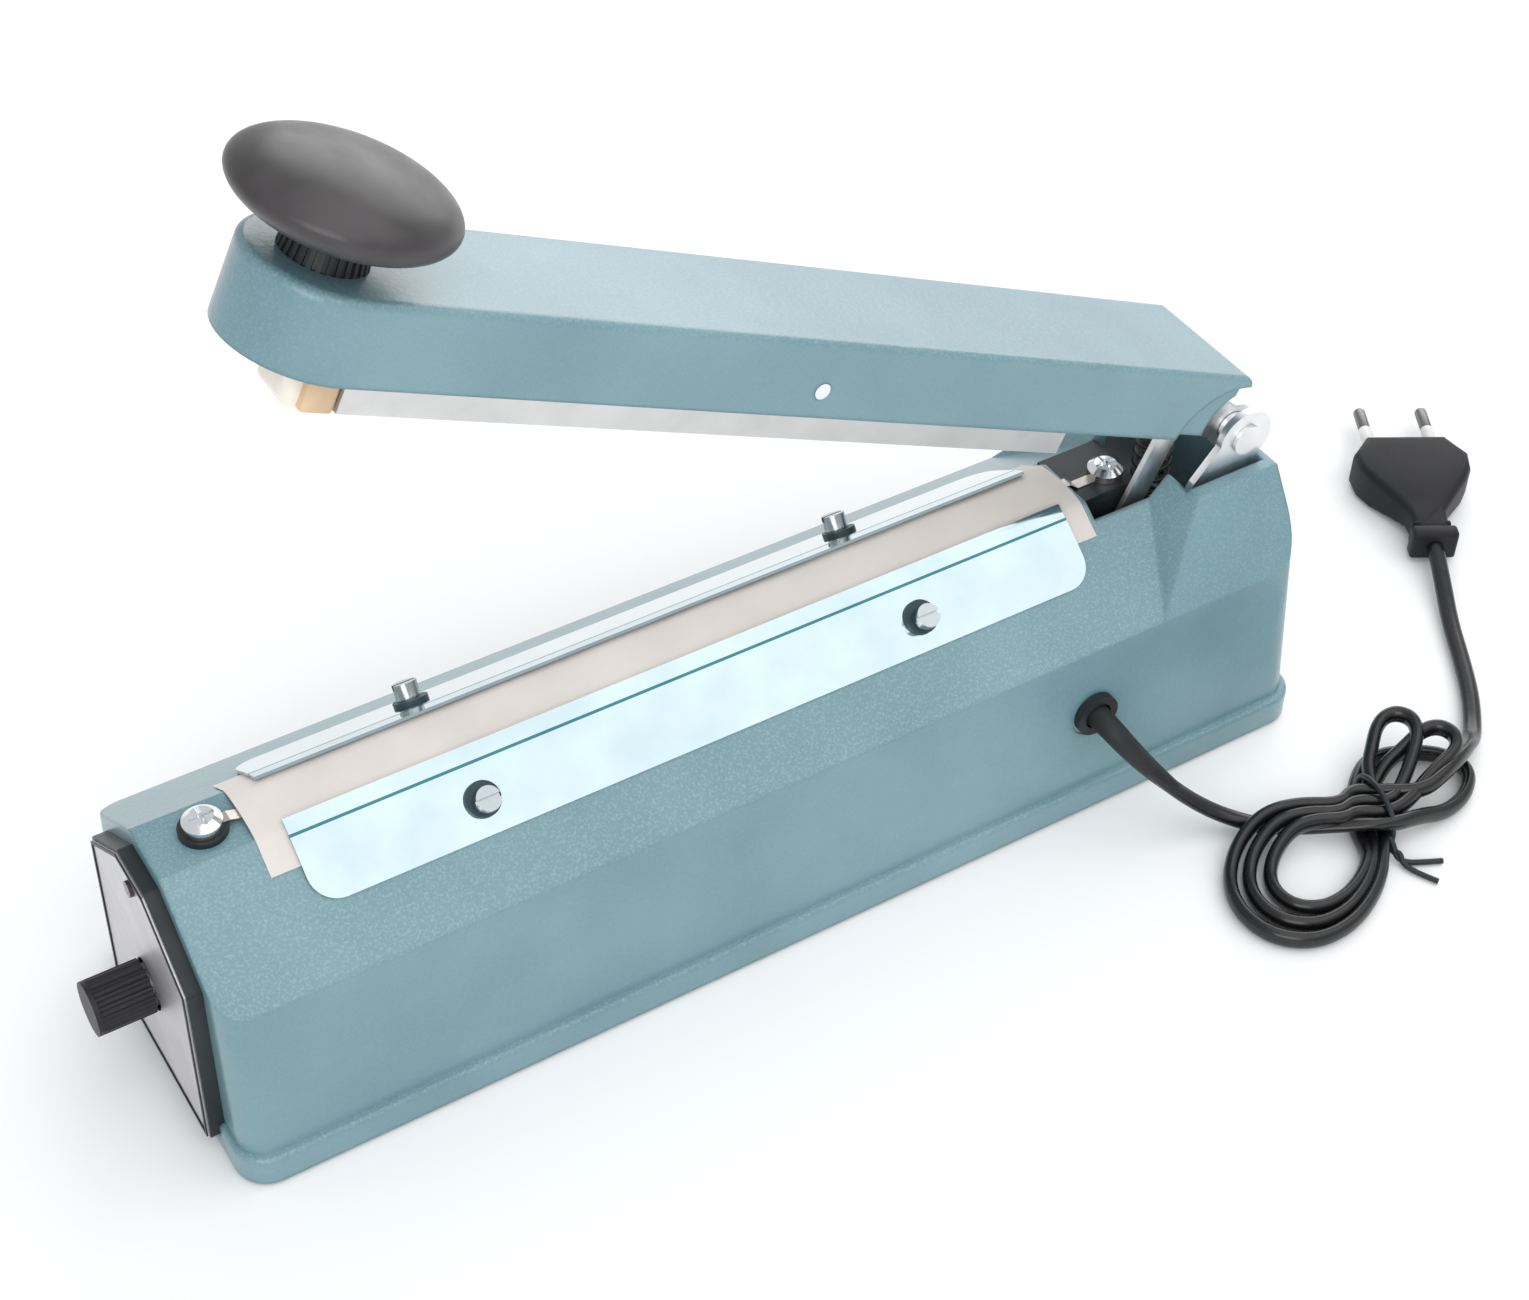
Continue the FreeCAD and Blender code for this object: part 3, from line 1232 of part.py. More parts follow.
# ---------------------------------------------------------------- mains cord
def cord_gland():
    """Snap-in gland with a recessed face that the cord comes out of."""
    flange = cylinder("gland_flange", "gland_flange_radius", "gland_flange_thickness",
                      "gland_place_x", "gland_face_y - gland_flange_thickness",
                      "gland_place_z", "Y")
    barrel = cylinder("gland_barrel", "gland_hole_radius", "wall_thickness + 5",
                      "gland_place_x", "gland_face_y - 0.5", "gland_place_z", "Y")
    recess = cylinder("gland_recess", "cord_radius + 1.2", "gland_recess + 1",
                      "gland_place_x", "gland_face_y - gland_flange_thickness - 1",
                      "gland_place_z", "Y")
    keep(cut("gland", fuse("gland_form", flange, barrel), recess), "cord_gland")


def rounded_path(points):
    """Straight runs joined by tangent arcs, each as large as its two runs allow."""
    spots = [Vector(*point) for point in points]
    edges = []
    start = spots[0]
    for index in range(1, len(spots) - 1):
        corner = spots[index]
        back = (spots[index - 1] - corner)
        ahead = (spots[index + 1] - corner)
        reach = 0.45 * min(back.Length, ahead.Length)
        back.normalize()
        ahead.normalize()
        turn = math.pi - back.getAngle(ahead)
        enter = corner + back * reach
        leave = corner + ahead * reach
        radius = reach / math.tan(turn / 2)
        print(f"    bend {index}: radius {radius:.1f}, turn {math.degrees(turn):.0f}")
        inward = back + ahead
        inward.normalize()
        rise = radius / math.cos(turn / 2) - radius
        edges.append(Part.LineSegment(start, enter).toShape())
        edges.append(Part.Arc(enter, corner + inward * rise, leave).toShape())
        start = leave
    edges.append(Part.LineSegment(start, spots[-1]).toShape())
    return Part.Wire(edges)


def tube(name, points, radius):
    """Round tube along a rounded path, checked against its section times its length."""
    path = rounded_path(points)
    first = path.Edges[0]
    ring = Part.Circle(first.Vertexes[0].Point, first.tangentAt(first.FirstParameter), radius)
    solid = path.makePipeShell([Part.Wire(ring.toShape())], True, False)
    expected = math.pi * radius * radius * path.Length
    if abs(solid.Volume / expected - 1) > 0.01:
        raise RuntimeError(f"{name} has the wrong volume")
    print(f"    {name} length {path.Length:.1f}")
    item = doc.addObject("Part::Feature", name)
    item.Shape = solid
    return item


# The route leaves the gland, drops to the floor and runs into the tied hank.
MACHINE_RUN = [
    (0.0, 0.0, 0.0),
    (0.0, -5.5, 0.0),
    (2.5, -10.5, -4.0),
    (7.5, -15.0, -11.0),
    (14.0, -19.5, -18.5),
    (21.0, -24.0, -24.5),
    (28.0, -29.0, -28.0),
    (35.0, -34.5, -29.3),
]
# From the hank, along the floor, to the back of the plug.
PLUG_RUN = [
    (183.0, -84.0, 2.7),
    (193.0, -76.0, 2.7),
    (203.0, -64.5, 2.7),
    (211.0, -52.0, 2.7),
    (218.5, -39.0, 3.0),
    (226.5, -27.0, 4.5),
    (233.2, -16.0, 6.5),
]
# Outline of the hank, a bow of two lobes drawn together by the tie.
HANK_OUTLINE = [
    (110.0, -80.0), (105.0, -94.0), (108.0, -108.0), (119.0, -111.0), (134.0, -103.0),
    (148.0, -91.0), (166.0, -87.5), (183.0, -89.0), (187.0, -76.0), (181.0, -65.0),
    (166.0, -68.0), (150.0, -79.0), (136.0, -73.0), (121.0, -72.0),
]


def mains_cord():
    """Both free stretches of cord, the hank between them, its tie and the plug."""
    start = (value_of("gland_place_x"),
             value_of("gland_face_y - gland_flange_thickness + gland_recess"),
             value_of("gland_place_z"))
    points = [tuple(base + step for base, step in zip(start, move)) for move in MACHINE_RUN]
    radius = value_of("cord_radius")
    keep(tube("cord_from_gland", points, radius), "power_cord_machine_end")
    keep(tube("cord_to_plug", PLUG_RUN, radius), "power_cord_plug_end")
    keep(prism("hank", "XY_Plane", HANK_OUTLINE, "hank_height"), "power_cord_hank")
    tails = []
    for index, route in enumerate((
            [(149.5, -89.0, 7.0), (153.0, -97.0, 7.5), (157.0, -104.0, 5.5)],
            [(147.5, -91.0, 5.0), (149.0, -100.0, 5.0), (150.5, -109.5, 2.0)])):
        tails.append(tube(f"tie_tail_{index}", route, 0.8))
    keep(group("tie", *tails), "cord_tie")
    plug()


def plug():
    """Flat two-pin plug with a ribbed neck, lying on the floor."""
    body = make_body("plug_block")
    sketch = make_sketch(body, "XY_Plane")
    half_outline = [("12", "5"), ("14", "11"), ("20", "15"), ("32", "plug_half_width"),
                    ("plug_length", "plug_half_width - 1")]
    outline = [(across, f"-({up})") for across, up in half_outline] + half_outline[::-1]
    add_polygon(sketch, outline)
    pad(body, sketch, "plug_thickness")
    fillet_edges(body, "3", lambda edge: edge.BoundBox.ZLength < 0.01)
    neck = doc.addObject("Part::Cone", "plug_neck")
    bind(neck, "Radius1", "cord_radius + 1.2")
    bind(neck, "Radius2", "cord_radius + 2.4")
    bind(neck, "Height", "14")
    neck.Placement.Rotation = TURNS["X"]
    put(neck, "0", "0", "plug_thickness / 2")
    blank = fuse("plug_form", body, neck)
    sockets = []
    pins = []
    for side in (-1, 1):
        sockets.append(cylinder(f"pin_socket_{side + 1}", "plug_pin_radius + screw_gap", "12",
                                "plug_length - 11", f"{side} * plug_pin_spacing / 2",
                                "plug_thickness / 2", "X"))
        shank = cylinder(f"pin_shank_{side + 1}", "plug_pin_radius", "plug_pin_length + 10",
                         "plug_length - 10", f"{side} * plug_pin_spacing / 2",
                         "plug_thickness / 2", "X")
        pins.append(shank)
    for item, node in ((group("plug_turned", cut("plug_cut", blank, *sockets)), "mains_plug"),
                       (group("pins_turned", *pins), "plug_pins")):
        item.Placement.Rotation = Rotation(Vector(0, 0, 1), 66)
        bind(item, "Placement.Rotation.Angle", "plug_angle")
        keep(put(item, "plug_x", "plug_y", "0"), node)


# ---------------------------------------------------------------- build, check and write
def check_and_write():
    """Refuse any failed object, then write one file for each piece."""
    doc.recompute()
    for item in doc.Objects:
        for state in ("Invalid", "Error"):
            if state in item.State:
                raise RuntimeError(f"{item.Name} is {state}")
    os.makedirs("parts", exist_ok=True)
    for item in kept:
        shape = item.Shape
        if shape.isNull() or not shape.isValid():
            raise RuntimeError(f"{item.Label} has no valid shape")
        shape.exportStep(f"parts/{item.Label}.step")
        print(f"{item.Label:26s} solids {len(shape.Solids):2d}  volume {shape.Volume:10.1f}")


base_housing()
bottom_parts()
timer_end()
seal_bed()
terminals()
hinge_base()
return_spring()
arm_parts()
transformer()
circuit()
micro_switch()
cord_gland()
mains_cord()
check_and_write()
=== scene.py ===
# %% [markdown]
# # A hand-operated bag sealer
#
# This lesson dresses a finished machine model for its portrait. The machine is a long cast
# housing with a sealing bed on top, a sprung press arm, a timer at one end and a tied mains
# cord. The engineering model arrives as a fixed frame: every plate, screw and hinge is
# already in place. What is left for Blender is what an engineer's model lacks: hammered
# enamel, mirror plate, cloth, a cord that lies like a cord, and light to see them in.

# %% Start from the engineering frame
import json
import math

import bmesh
import bpy
from mathutils import Matrix, Vector


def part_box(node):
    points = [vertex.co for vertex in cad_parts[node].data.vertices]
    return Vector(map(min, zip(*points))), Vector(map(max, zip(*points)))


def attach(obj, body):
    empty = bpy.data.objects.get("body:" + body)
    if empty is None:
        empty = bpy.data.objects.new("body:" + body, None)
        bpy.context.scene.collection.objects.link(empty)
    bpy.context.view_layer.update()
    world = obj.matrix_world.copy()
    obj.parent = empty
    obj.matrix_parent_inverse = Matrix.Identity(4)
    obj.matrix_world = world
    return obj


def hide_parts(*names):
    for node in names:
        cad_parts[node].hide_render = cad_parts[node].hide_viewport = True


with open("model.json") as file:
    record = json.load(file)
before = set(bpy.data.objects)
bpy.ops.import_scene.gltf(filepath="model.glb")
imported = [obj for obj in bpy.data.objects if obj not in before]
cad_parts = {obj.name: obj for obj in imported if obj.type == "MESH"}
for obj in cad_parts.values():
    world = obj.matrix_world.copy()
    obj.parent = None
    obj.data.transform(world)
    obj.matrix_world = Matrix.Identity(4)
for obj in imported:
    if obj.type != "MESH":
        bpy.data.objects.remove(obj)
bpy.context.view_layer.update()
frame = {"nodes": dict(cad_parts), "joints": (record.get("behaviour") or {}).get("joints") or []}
MM = 0.001

# %% [markdown]
# ## The camera
#
# A product portrait is taken from above and in front of the timer end, with a moderately
# long lens, so that the long sides stay almost parallel. The camera is described the way a
# photographer would: where it stands, which way it looks, and how long its lens is. A turn
# about the upright axis, a tilt, and a slight roll are multiplied together in that order.

# %% Place the camera
CAMERA_PLACE = Vector((-0.2486, -0.4088, 0.5207))
CAMERA_AZIMUTH = -32.49
CAMERA_ELEVATION = 41.1
CAMERA_ROLL = 1.47
LENS = 64.9
SENSOR_WIDTH = 36.0
FRAME_SHIFT = (0.0112, -0.078)
NEAREST_SEEN = 0.01

camera_data = bpy.data.cameras.new("portrait_camera")
camera_data.lens = LENS
camera_data.sensor_width = SENSOR_WIDTH
camera_data.shift_x, camera_data.shift_y = FRAME_SHIFT
camera_data.clip_start = NEAREST_SEEN
camera = bpy.data.objects.new("portrait_camera", camera_data)
bpy.context.collection.objects.link(camera)
turn = Matrix.Rotation(math.radians(CAMERA_AZIMUTH), 4, "Z")
tilt = Matrix.Rotation(math.radians(90.0 - CAMERA_ELEVATION), 4, "X")
roll = Matrix.Rotation(math.radians(CAMERA_ROLL), 4, "Z")
camera.matrix_world = Matrix.Translation(CAMERA_PLACE) @ turn @ tilt @ roll
bpy.context.scene.camera = camera
print("camera stands", round(CAMERA_PLACE.length, 3), "m from the machine's centre")

# %% [markdown]
# ## Light and floor
#
# Catalogue pictures are lit from all round: a white sweep under the machine, big soft
# sources, and a bright surrounding that fills every shadow. The world gives the surrounding.
# Three large area lamps give the shape: one behind, whose shine makes the upper faces pale,
# one overhead, and one in front that keeps the near side from going dark.

# %% Build the white sweep and the lamps
AIM_POINT = (0.0, 0.0, 0.05)
SURROUNDING = (0.97, 0.985, 1.0, 1.0)
SURROUNDING_STRENGTH = 0.70
FLOOR_REACH = 6.0


def soft_lamp(name, place, aim, size, power):
    """A large rectangular lamp at place, shining at aim; size in metres, power in watts."""
    data = bpy.data.lights.new(name, "AREA")
    data.shape = "RECTANGLE"
    data.size = size[0]
    data.size_y = size[1]
    data.energy = power
    lamp = bpy.data.objects.new(name, data)
    bpy.context.collection.objects.link(lamp)
    direction = Vector(aim) - Vector(place)
    lamp.rotation_euler = direction.to_track_quat("-Z", "Y").to_euler()
    lamp.location = place
    return lamp


soft_lamp("rear_softbox", (1.30, 1.25, 0.78), AIM_POINT, (1.7, 1.2), 13.0)
soft_lamp("overhead_softbox", (0.35, -0.45, 1.30), (0.0, 0.0, 0.0), (2.0, 1.6), 10.0)
soft_lamp("front_fill", (-1.0, -1.3, 0.9), AIM_POINT, (1.2, 1.0), 11.0)

world = bpy.data.worlds.new("white_studio")
world.use_nodes = True
background = world.node_tree.nodes["Background"]
background.inputs["Color"].default_value = SURROUNDING
background.inputs["Strength"].default_value = SURROUNDING_STRENGTH
bpy.context.scene.world = world
bpy.context.scene.view_settings.view_transform = "Standard"

floor_mesh = bmesh.new()
bmesh.ops.create_grid(floor_mesh, x_segments=2, y_segments=2, size=FLOOR_REACH)
floor_data = bpy.data.meshes.new("studio_floor")
floor_mesh.to_mesh(floor_data)
floor_mesh.free()
floor = bpy.data.objects.new("studio_floor", floor_data)
bpy.context.collection.objects.link(floor)

# %% [markdown]
# ## A small kit for finishes
#
# Every finish below is one Principled shader with a few texture nodes in front of it. A few
# helpers keep each recipe down to what matters: start a finish, make a texture that is
# scaled in millimetres, spread it into a range of colours or greys, turn it into a fine
# bump, and put the finish on a piece of the frame.

# %% Helpers for finishes
def start_finish(name, colour, metallic, roughness):
    """A new material with one Principled shader; colour is linear red, green, blue."""
    material = bpy.data.materials.new(name)
    material.use_nodes = True
    principled = material.node_tree.nodes["Principled BSDF"]
    principled.inputs["Base Color"].default_value = (*colour, 1.0)
    principled.inputs["Metallic"].default_value = metallic
    principled.inputs["Roughness"].default_value = roughness
    material.diffuse_color = (*colour, 1.0)
    return material, material.node_tree, principled


def grain(tree, grain_mm, detail=2.0, stretch=(1.0, 1.0, 1.0), kind="ShaderNodeTexNoise"):
    """A noise or cell texture on Object coordinates, its grain given in millimetres."""
    place = tree.nodes.new("ShaderNodeTexCoord")
    mapping = tree.nodes.new("ShaderNodeMapping")
    mapping.inputs["Scale"].default_value = stretch
    tree.links.new(place.outputs["Object"], mapping.inputs["Vector"])
    texture = tree.nodes.new(kind)
    texture.inputs["Scale"].default_value = 1.0 / (grain_mm * MM)
    if kind == "ShaderNodeTexNoise":
        texture.inputs["Detail"].default_value = detail
    tree.links.new(mapping.outputs["Vector"], texture.inputs["Vector"])
    return texture.outputs[0]


def spread(tree, value, stops):
    """A colour ramp over value; stops are (position, (r, g, b)) pairs."""
    ramp = tree.nodes.new("ShaderNodeValToRGB")
    ramp.color_ramp.elements[0].position = stops[0][0]
    ramp.color_ramp.elements[0].color = (*stops[0][1], 1.0)
    ramp.color_ramp.elements[1].position = stops[-1][0]
    ramp.color_ramp.elements[1].color = (*stops[-1][1], 1.0)
    for position, colour in stops[1:-1]:
        element = ramp.color_ramp.elements.new(position)
        element.color = (*colour, 1.0)
    tree.links.new(value, ramp.inputs["Fac"])
    return ramp.outputs["Color"]


def grey_range(tree, value, low, high):
    """Value mapped to a grey between low and high, for roughness."""
    change = tree.nodes.new("ShaderNodeMapRange")
    change.inputs["From Min"].default_value = 0.3
    change.inputs["From Max"].default_value = 0.7
    change.inputs["To Min"].default_value = low
    change.inputs["To Max"].default_value = high
    tree.links.new(value, change.inputs["Value"])
    return change.outputs["Result"]


def add_bump(tree, principled, value, depth_mm, strength=1.0):
    """A bump of the given depth; a second call stacks on the first."""
    bump = tree.nodes.new("ShaderNodeBump")
    bump.inputs["Distance"].default_value = depth_mm * MM
    bump.inputs["Strength"].default_value = strength
    normal = principled.inputs["Normal"]
    if normal.is_linked:
        tree.links.new(normal.links[0].from_socket, bump.inputs["Normal"])
    tree.links.new(value, bump.inputs["Height"])
    tree.links.new(bump.outputs["Normal"], normal)


def dress(material, *nodes):
    """Put one finish on every slot of the named frame pieces."""
    for node in nodes:
        piece = frame["nodes"][node]
        piece.data.materials.clear()
        piece.data.materials.append(material)


paper, paper_tree, paper_shader = start_finish("pale_paper", (0.93, 0.93, 0.93), 0.0, 0.7)
paper_tint = spread(paper_tree, grain(paper_tree, 400.0), [(0.3, (0.93,) * 3), (0.7, (0.95,) * 3)])
paper_tree.links.new(paper_tint, paper_shader.inputs["Base Color"])
floor.data.materials.append(paper)

# %% [markdown]
# ## Hammered enamel
#
# The housing and the arm are castings sprayed with hammer-finish enamel. As it dries the
# paint pulls into shallow cells a millimetre or two wide, with aluminium flake that makes
# them sparkle. Cells from a Voronoi texture give the dents, fine noise gives the flake, and
# a slow noise keeps the long sides from looking printed. A cast edge under thick paint is
# never sharp, so a Bevel node rounds the shading there.

# %% Mix the enamel
EDGE_ROUNDING = 1.7
DENT_WIDTH = 1.5
FLAKE_WIDTH = 0.6
SHADE_WIDTH = 38.0
# How much flake colour shows on the walls and on the tops; the extra on the tops is painted sheen.
FLAKE_AND_SHEEN_ON_WALLS = 0.06
FLAKE_AND_SHEEN_ON_TOPS = 0.24


def hammered_enamel(name, deep, pale, spark):
    """Sprayed hammer finish: deep and pale in slow patches, with bright flake.

    The flake specks are strong on faces that point up and faint on the upright walls. This
    is painted sheen: it makes the upper faces paler, as the light from above does.
    """
    material, tree, principled = start_finish(name, pale, 0.0, 0.34)
    cells = grain(tree, DENT_WIDTH, kind="ShaderNodeTexVoronoi")
    flake = grain(tree, FLAKE_WIDTH)
    cloud = grain(tree, SHADE_WIDTH)
    body = spread(tree, cloud, [(0.30, deep), (0.70, pale)])
    speck = spread(tree, flake, [(0.47, (0.0,) * 3), (0.70, (1.0,) * 3)])
    # Faces that point up get more of the pale flake colour: a painted sheen on the upper faces.
    place = tree.nodes.new("ShaderNodeTexCoord")
    facing = tree.nodes.new("ShaderNodeSeparateXYZ")
    tree.links.new(place.outputs["Normal"], facing.inputs["Vector"])
    sheen_on_tops_share = tree.nodes.new("ShaderNodeMapRange")
    sheen_on_tops_share.inputs["From Min"].default_value = 0.2
    sheen_on_tops_share.inputs["From Max"].default_value = 0.8
    sheen_on_tops_share.inputs["To Min"].default_value = FLAKE_AND_SHEEN_ON_WALLS
    sheen_on_tops_share.inputs["To Max"].default_value = FLAKE_AND_SHEEN_ON_TOPS
    tree.links.new(facing.outputs["Z"], sheen_on_tops_share.inputs["Value"])
    flake_and_painted_sheen = tree.nodes.new("ShaderNodeMath")
    flake_and_painted_sheen.operation = "MULTIPLY"
    tree.links.new(speck, flake_and_painted_sheen.inputs[0])
    tree.links.new(sheen_on_tops_share.outputs["Result"], flake_and_painted_sheen.inputs[1])
    blend = tree.nodes.new("ShaderNodeMix")
    blend.data_type = "RGBA"
    tree.links.new(flake_and_painted_sheen.outputs["Value"], blend.inputs["Factor"])
    tree.links.new(body, blend.inputs["A"])
    blend.inputs["B"].default_value = (*spark, 1.0)
    tree.links.new(blend.outputs["Result"], principled.inputs["Base Color"])
    tree.links.new(grey_range(tree, flake, 0.30, 0.46), principled.inputs["Roughness"])
    rounding = tree.nodes.new("ShaderNodeBevel")
    rounding.samples = 6
    rounding.inputs["Radius"].default_value = EDGE_ROUNDING * MM
    tree.links.new(rounding.outputs["Normal"], principled.inputs["Normal"])
    add_bump(tree, principled, cells, 0.20, 0.35)
    add_bump(tree, principled, flake, 0.12, 0.3)
    principled.inputs["Coat Weight"].default_value = 0.5
    principled.inputs["Coat Roughness"].default_value = 0.22
    return material


enamel = hammered_enamel("teal_hammer_enamel", (0.122, 0.236, 0.274), (0.158, 0.290, 0.330),
                         (0.46, 0.62, 0.66))
dress(enamel, "base_housing", "bottom_cover", "arm_shell")

# %% [markdown]
# ## Bright metal
#
# The bright parts range from the mirror plate of the bag guides, through the chrome of the
# screws, to the dull zinc on the pressed steel of the hinge. They differ only in tint, in
# how rough they are, and in the direction and depth of their scratches, so one recipe
# makes them all. Only the mirror plate is lacquered.

# %% Mix the metals
SCRATCH_WIDTH = 0.8
SMUDGE_WIDTH = 14.0


def bright_metal(name, colour, roughness, scratch=(1.0, 1.0, 1.0), depth_mm=0.01, lacquer=0.0):
    """Bright metal with fine scratches, stretched along an axis, and if asked a clear lacquer."""
    material, tree, principled = start_finish(name, colour, 1.0, roughness)
    lines = grain(tree, SCRATCH_WIDTH, detail=4.0, stretch=scratch)
    low = max(0.02, roughness - 0.05)
    tree.links.new(grey_range(tree, lines, low, roughness + 0.08), principled.inputs["Roughness"])
    pale = tuple(min(1.0, c * 1.06) for c in colour)
    dull = tuple(c * 0.92 for c in colour)
    smudge = grain(tree, SMUDGE_WIDTH, detail=3.0)
    tree.links.new(spread(tree, smudge, [(0.3, dull), (0.7, pale)]), principled.inputs["Base Color"])
    add_bump(tree, principled, lines, depth_mm, 0.3)
    principled.inputs["Coat Weight"].default_value = lacquer
    return material


mirror_plate = bright_metal("mirror_plate", (0.45, 0.56, 0.60), 0.05, (0.05, 1.0, 1.0), 0.002, 1.0)
turned_chrome = bright_metal("turned_chrome", (0.80, 0.82, 0.84), 0.16)
# The retaining screws get a darker copy of the chrome: painted shade that keeps their heads from
# glaring under the lamps.
shaded_screw_chrome = bright_metal("shaded_screw_chrome", (0.40, 0.44, 0.45), 0.20)
zinc_plate = bright_metal("zinc_plate", (0.78, 0.79, 0.80), 0.34, (1.0, 1.0, 0.1))
pin_metal = bright_metal("pin_nickel", (0.20, 0.20, 0.20), 0.35)
bar_metal = bright_metal("press_bar_aluminium", (0.66, 0.66, 0.65), 0.40, (0.04, 1.0, 1.0), 0.02)
# A dark metal for the fold of the mirror plates: a painted dark reflection, not the plates' own colour.
painted_crease_reflection = bright_metal("crease_shadow", (0.05, 0.17, 0.20), 0.20)
core_metal = bright_metal("core_laminations", (0.30, 0.30, 0.32), 0.45, (1.0, 0.05, 1.0), 0.05)
ribbon_metal = bright_metal("nichrome_ribbon", (0.50, 0.46, 0.42), 0.35)
label_metal = bright_metal("label_silver", (0.63, 0.62, 0.64), 0.42, (1.0, 0.05, 1.0))
dress(mirror_plate, "near_retaining_plate", "far_retaining_plate")
dress(shaded_screw_chrome, "retaining_screws")
dress(turned_chrome, "terminal_screws", "press_bar_pin")
dress(zinc_plate, "hinge_seat", "hinge_seat_screws", "hinge_pin", "pivot_spacers", "arm_bracket",
      "arm_bracket_screws", "knob_screw", "terminal_nut", "timer_nut", "timer_potentiometer",
      "timer_shaft", "bottom_cover_screws", "transformer_strap", "strap_screws",
      "board_posts", "switch_lever")
dress(pin_metal, "plug_pins")
dress(bar_metal, "press_bar")
dress(core_metal, "transformer_core")
dress(ribbon_metal, "heating_element")
dress(label_metal, "control_label")

# %% [markdown]
# ## Plastics and rubber
#
# The dark parts are all different under the light: a glossy moulded knob, a satin bezel, a
# ribbed dial, soft black rubber. One recipe covers them and the pale soft parts too, with
# its gloss and its moulding texture set for each.

# %% Mix the plastics
FADE_WIDTH = 12.0


def moulded_plastic(name, colour, roughness, grain_mm=0.5, depth_mm=0.02, shine=0.5):
    """Moulded plastic or rubber with a faint surface texture."""
    material, tree, principled = start_finish(name, colour, 0.0, roughness)
    texture = grain(tree, grain_mm, detail=3.0)
    slow = grain(tree, FADE_WIDTH)
    darker = tuple(c * 0.8 for c in colour)
    lighter = tuple(min(1.0, c * 1.15 + 0.002) for c in colour)
    tree.links.new(spread(tree, slow, [(0.3, darker), (0.7, lighter)]), principled.inputs["Base Color"])
    low = max(0.03, roughness - 0.04)
    tree.links.new(grey_range(tree, texture, low, roughness + 0.06), principled.inputs["Roughness"])
    add_bump(tree, principled, texture, depth_mm, 0.5)
    principled.inputs["Specular IOR Level"].default_value = shine
    return material


bezel_black = moulded_plastic("bezel_black", (0.016, 0.021, 0.024), 0.38, 0.5, 0.02, 0.35)
knob_brown = moulded_plastic("knob_brown_black", (0.045, 0.041, 0.043), 0.34, 6.0, 0.004, 0.45)
dial_black = moulded_plastic("dial_black", (0.016, 0.014, 0.017), 0.45, 0.5, 0.02, 0.35)
lamp_dark = moulded_plastic("lamp_lens", (0.050, 0.030, 0.034), 0.18, 2.0, 0.01, 0.5)
rubber_black = moulded_plastic("soft_rubber", (0.012, 0.013, 0.015), 0.50, 0.5, 0.02, 0.35)
cord_black = moulded_plastic("cord_pvc", (0.006, 0.006, 0.007), 0.24, 1.2, 0.01, 0.5)
plug_black = moulded_plastic("plug_pvc", (0.010, 0.010, 0.012), 0.48, 0.4, 0.03, 0.25)
spring_black = moulded_plastic("spring_lacquer", (0.020, 0.020, 0.022), 0.30)
bar_brown = moulded_plastic("bakelite_bar", (0.25, 0.17, 0.10), 0.5)
clip_cream = moulded_plastic("cream_clip", (0.66, 0.47, 0.30), 0.50, 0.6, 0.02)
sleeve_white = moulded_plastic("sleeve_white", (0.80, 0.80, 0.78), 0.45, 1.0, 0.01)
# Dark teal-black standing in for the shade of the holes under the guide screws: painted shade.
washer_painted_shade = moulded_plastic("washer_hole_shade", (0.012, 0.045, 0.058), 0.45, 0.6, 0.02)
silicone_white = moulded_plastic("silicone_rubber", (0.80, 0.75, 0.67), 0.55, 0.6, 0.02)
winding = moulded_plastic("winding_tape", (0.62, 0.45, 0.10), 0.45)
board_green = moulded_plastic("board_laminate", (0.03, 0.16, 0.06), 0.35)
component_blue = moulded_plastic("component_blue", (0.03, 0.05, 0.16), 0.25)
dress(bezel_black, "end_bezel", "knob_collar", "terminal_bush", "terminal_block", "micro_switch",
      "cord_tie")
dress(knob_brown, "arm_knob")
dress(dial_black, "timer_dial")
dress(lamp_dark, "indicator_lamp")
dress(rubber_black, "rubber_feet", "cord_gland")
dress(cord_black, "power_cord_machine_end", "power_cord_plug_end", "power_cord_hank")
dress(plug_black, "mains_plug")
dress(spring_black, "return_spring", "pin_clip")
dress(bar_brown, "element_bar")
dress(silicone_white, "silicone_strip")
dress(winding, "transformer_winding")
dress(board_green, "circuit_board")
dress(component_blue, "board_components")

# %% [markdown]
# ## Sealing cloth
#
# A strip of glass cloth coated with non-stick resin covers the hot ribbon. It is a plain
# weave, beige, thin enough to be a single surface here.

# %% Weave the cloth finish
WEAVE_SCALE = 314.0


def woven_cloth(name, colour):
    """Plain weave from two crossed wave textures."""
    material, tree, principled = start_finish(name, colour, 0.0, 0.55)
    place = tree.nodes.new("ShaderNodeTexCoord")
    heights = []
    for direction in ("X", "Y"):
        threads = tree.nodes.new("ShaderNodeTexWave")
        threads.bands_direction = direction
        threads.inputs["Scale"].default_value = WEAVE_SCALE
        threads.inputs["Distortion"].default_value = 0.6
        tree.links.new(place.outputs["Object"], threads.inputs["Vector"])
        heights.append(threads.outputs["Fac"])
    cross = tree.nodes.new("ShaderNodeMath")
    cross.operation = "MULTIPLY"
    tree.links.new(heights[0], cross.inputs[0])
    tree.links.new(heights[1], cross.inputs[1])
    add_bump(tree, principled, cross.outputs["Value"], 0.05, 0.4)
    slow = grain(tree, 18.0, detail=3.0)
    deep = tuple(c * 0.93 for c in colour)
    tree.links.new(spread(tree, slow, [(0.35, deep), (0.65, colour)]), principled.inputs["Base Color"])
    return material


beige_cloth = woven_cloth("beige_sealing_cloth", (0.72, 0.67, 0.63))
dress(beige_cloth, "release_cloth")

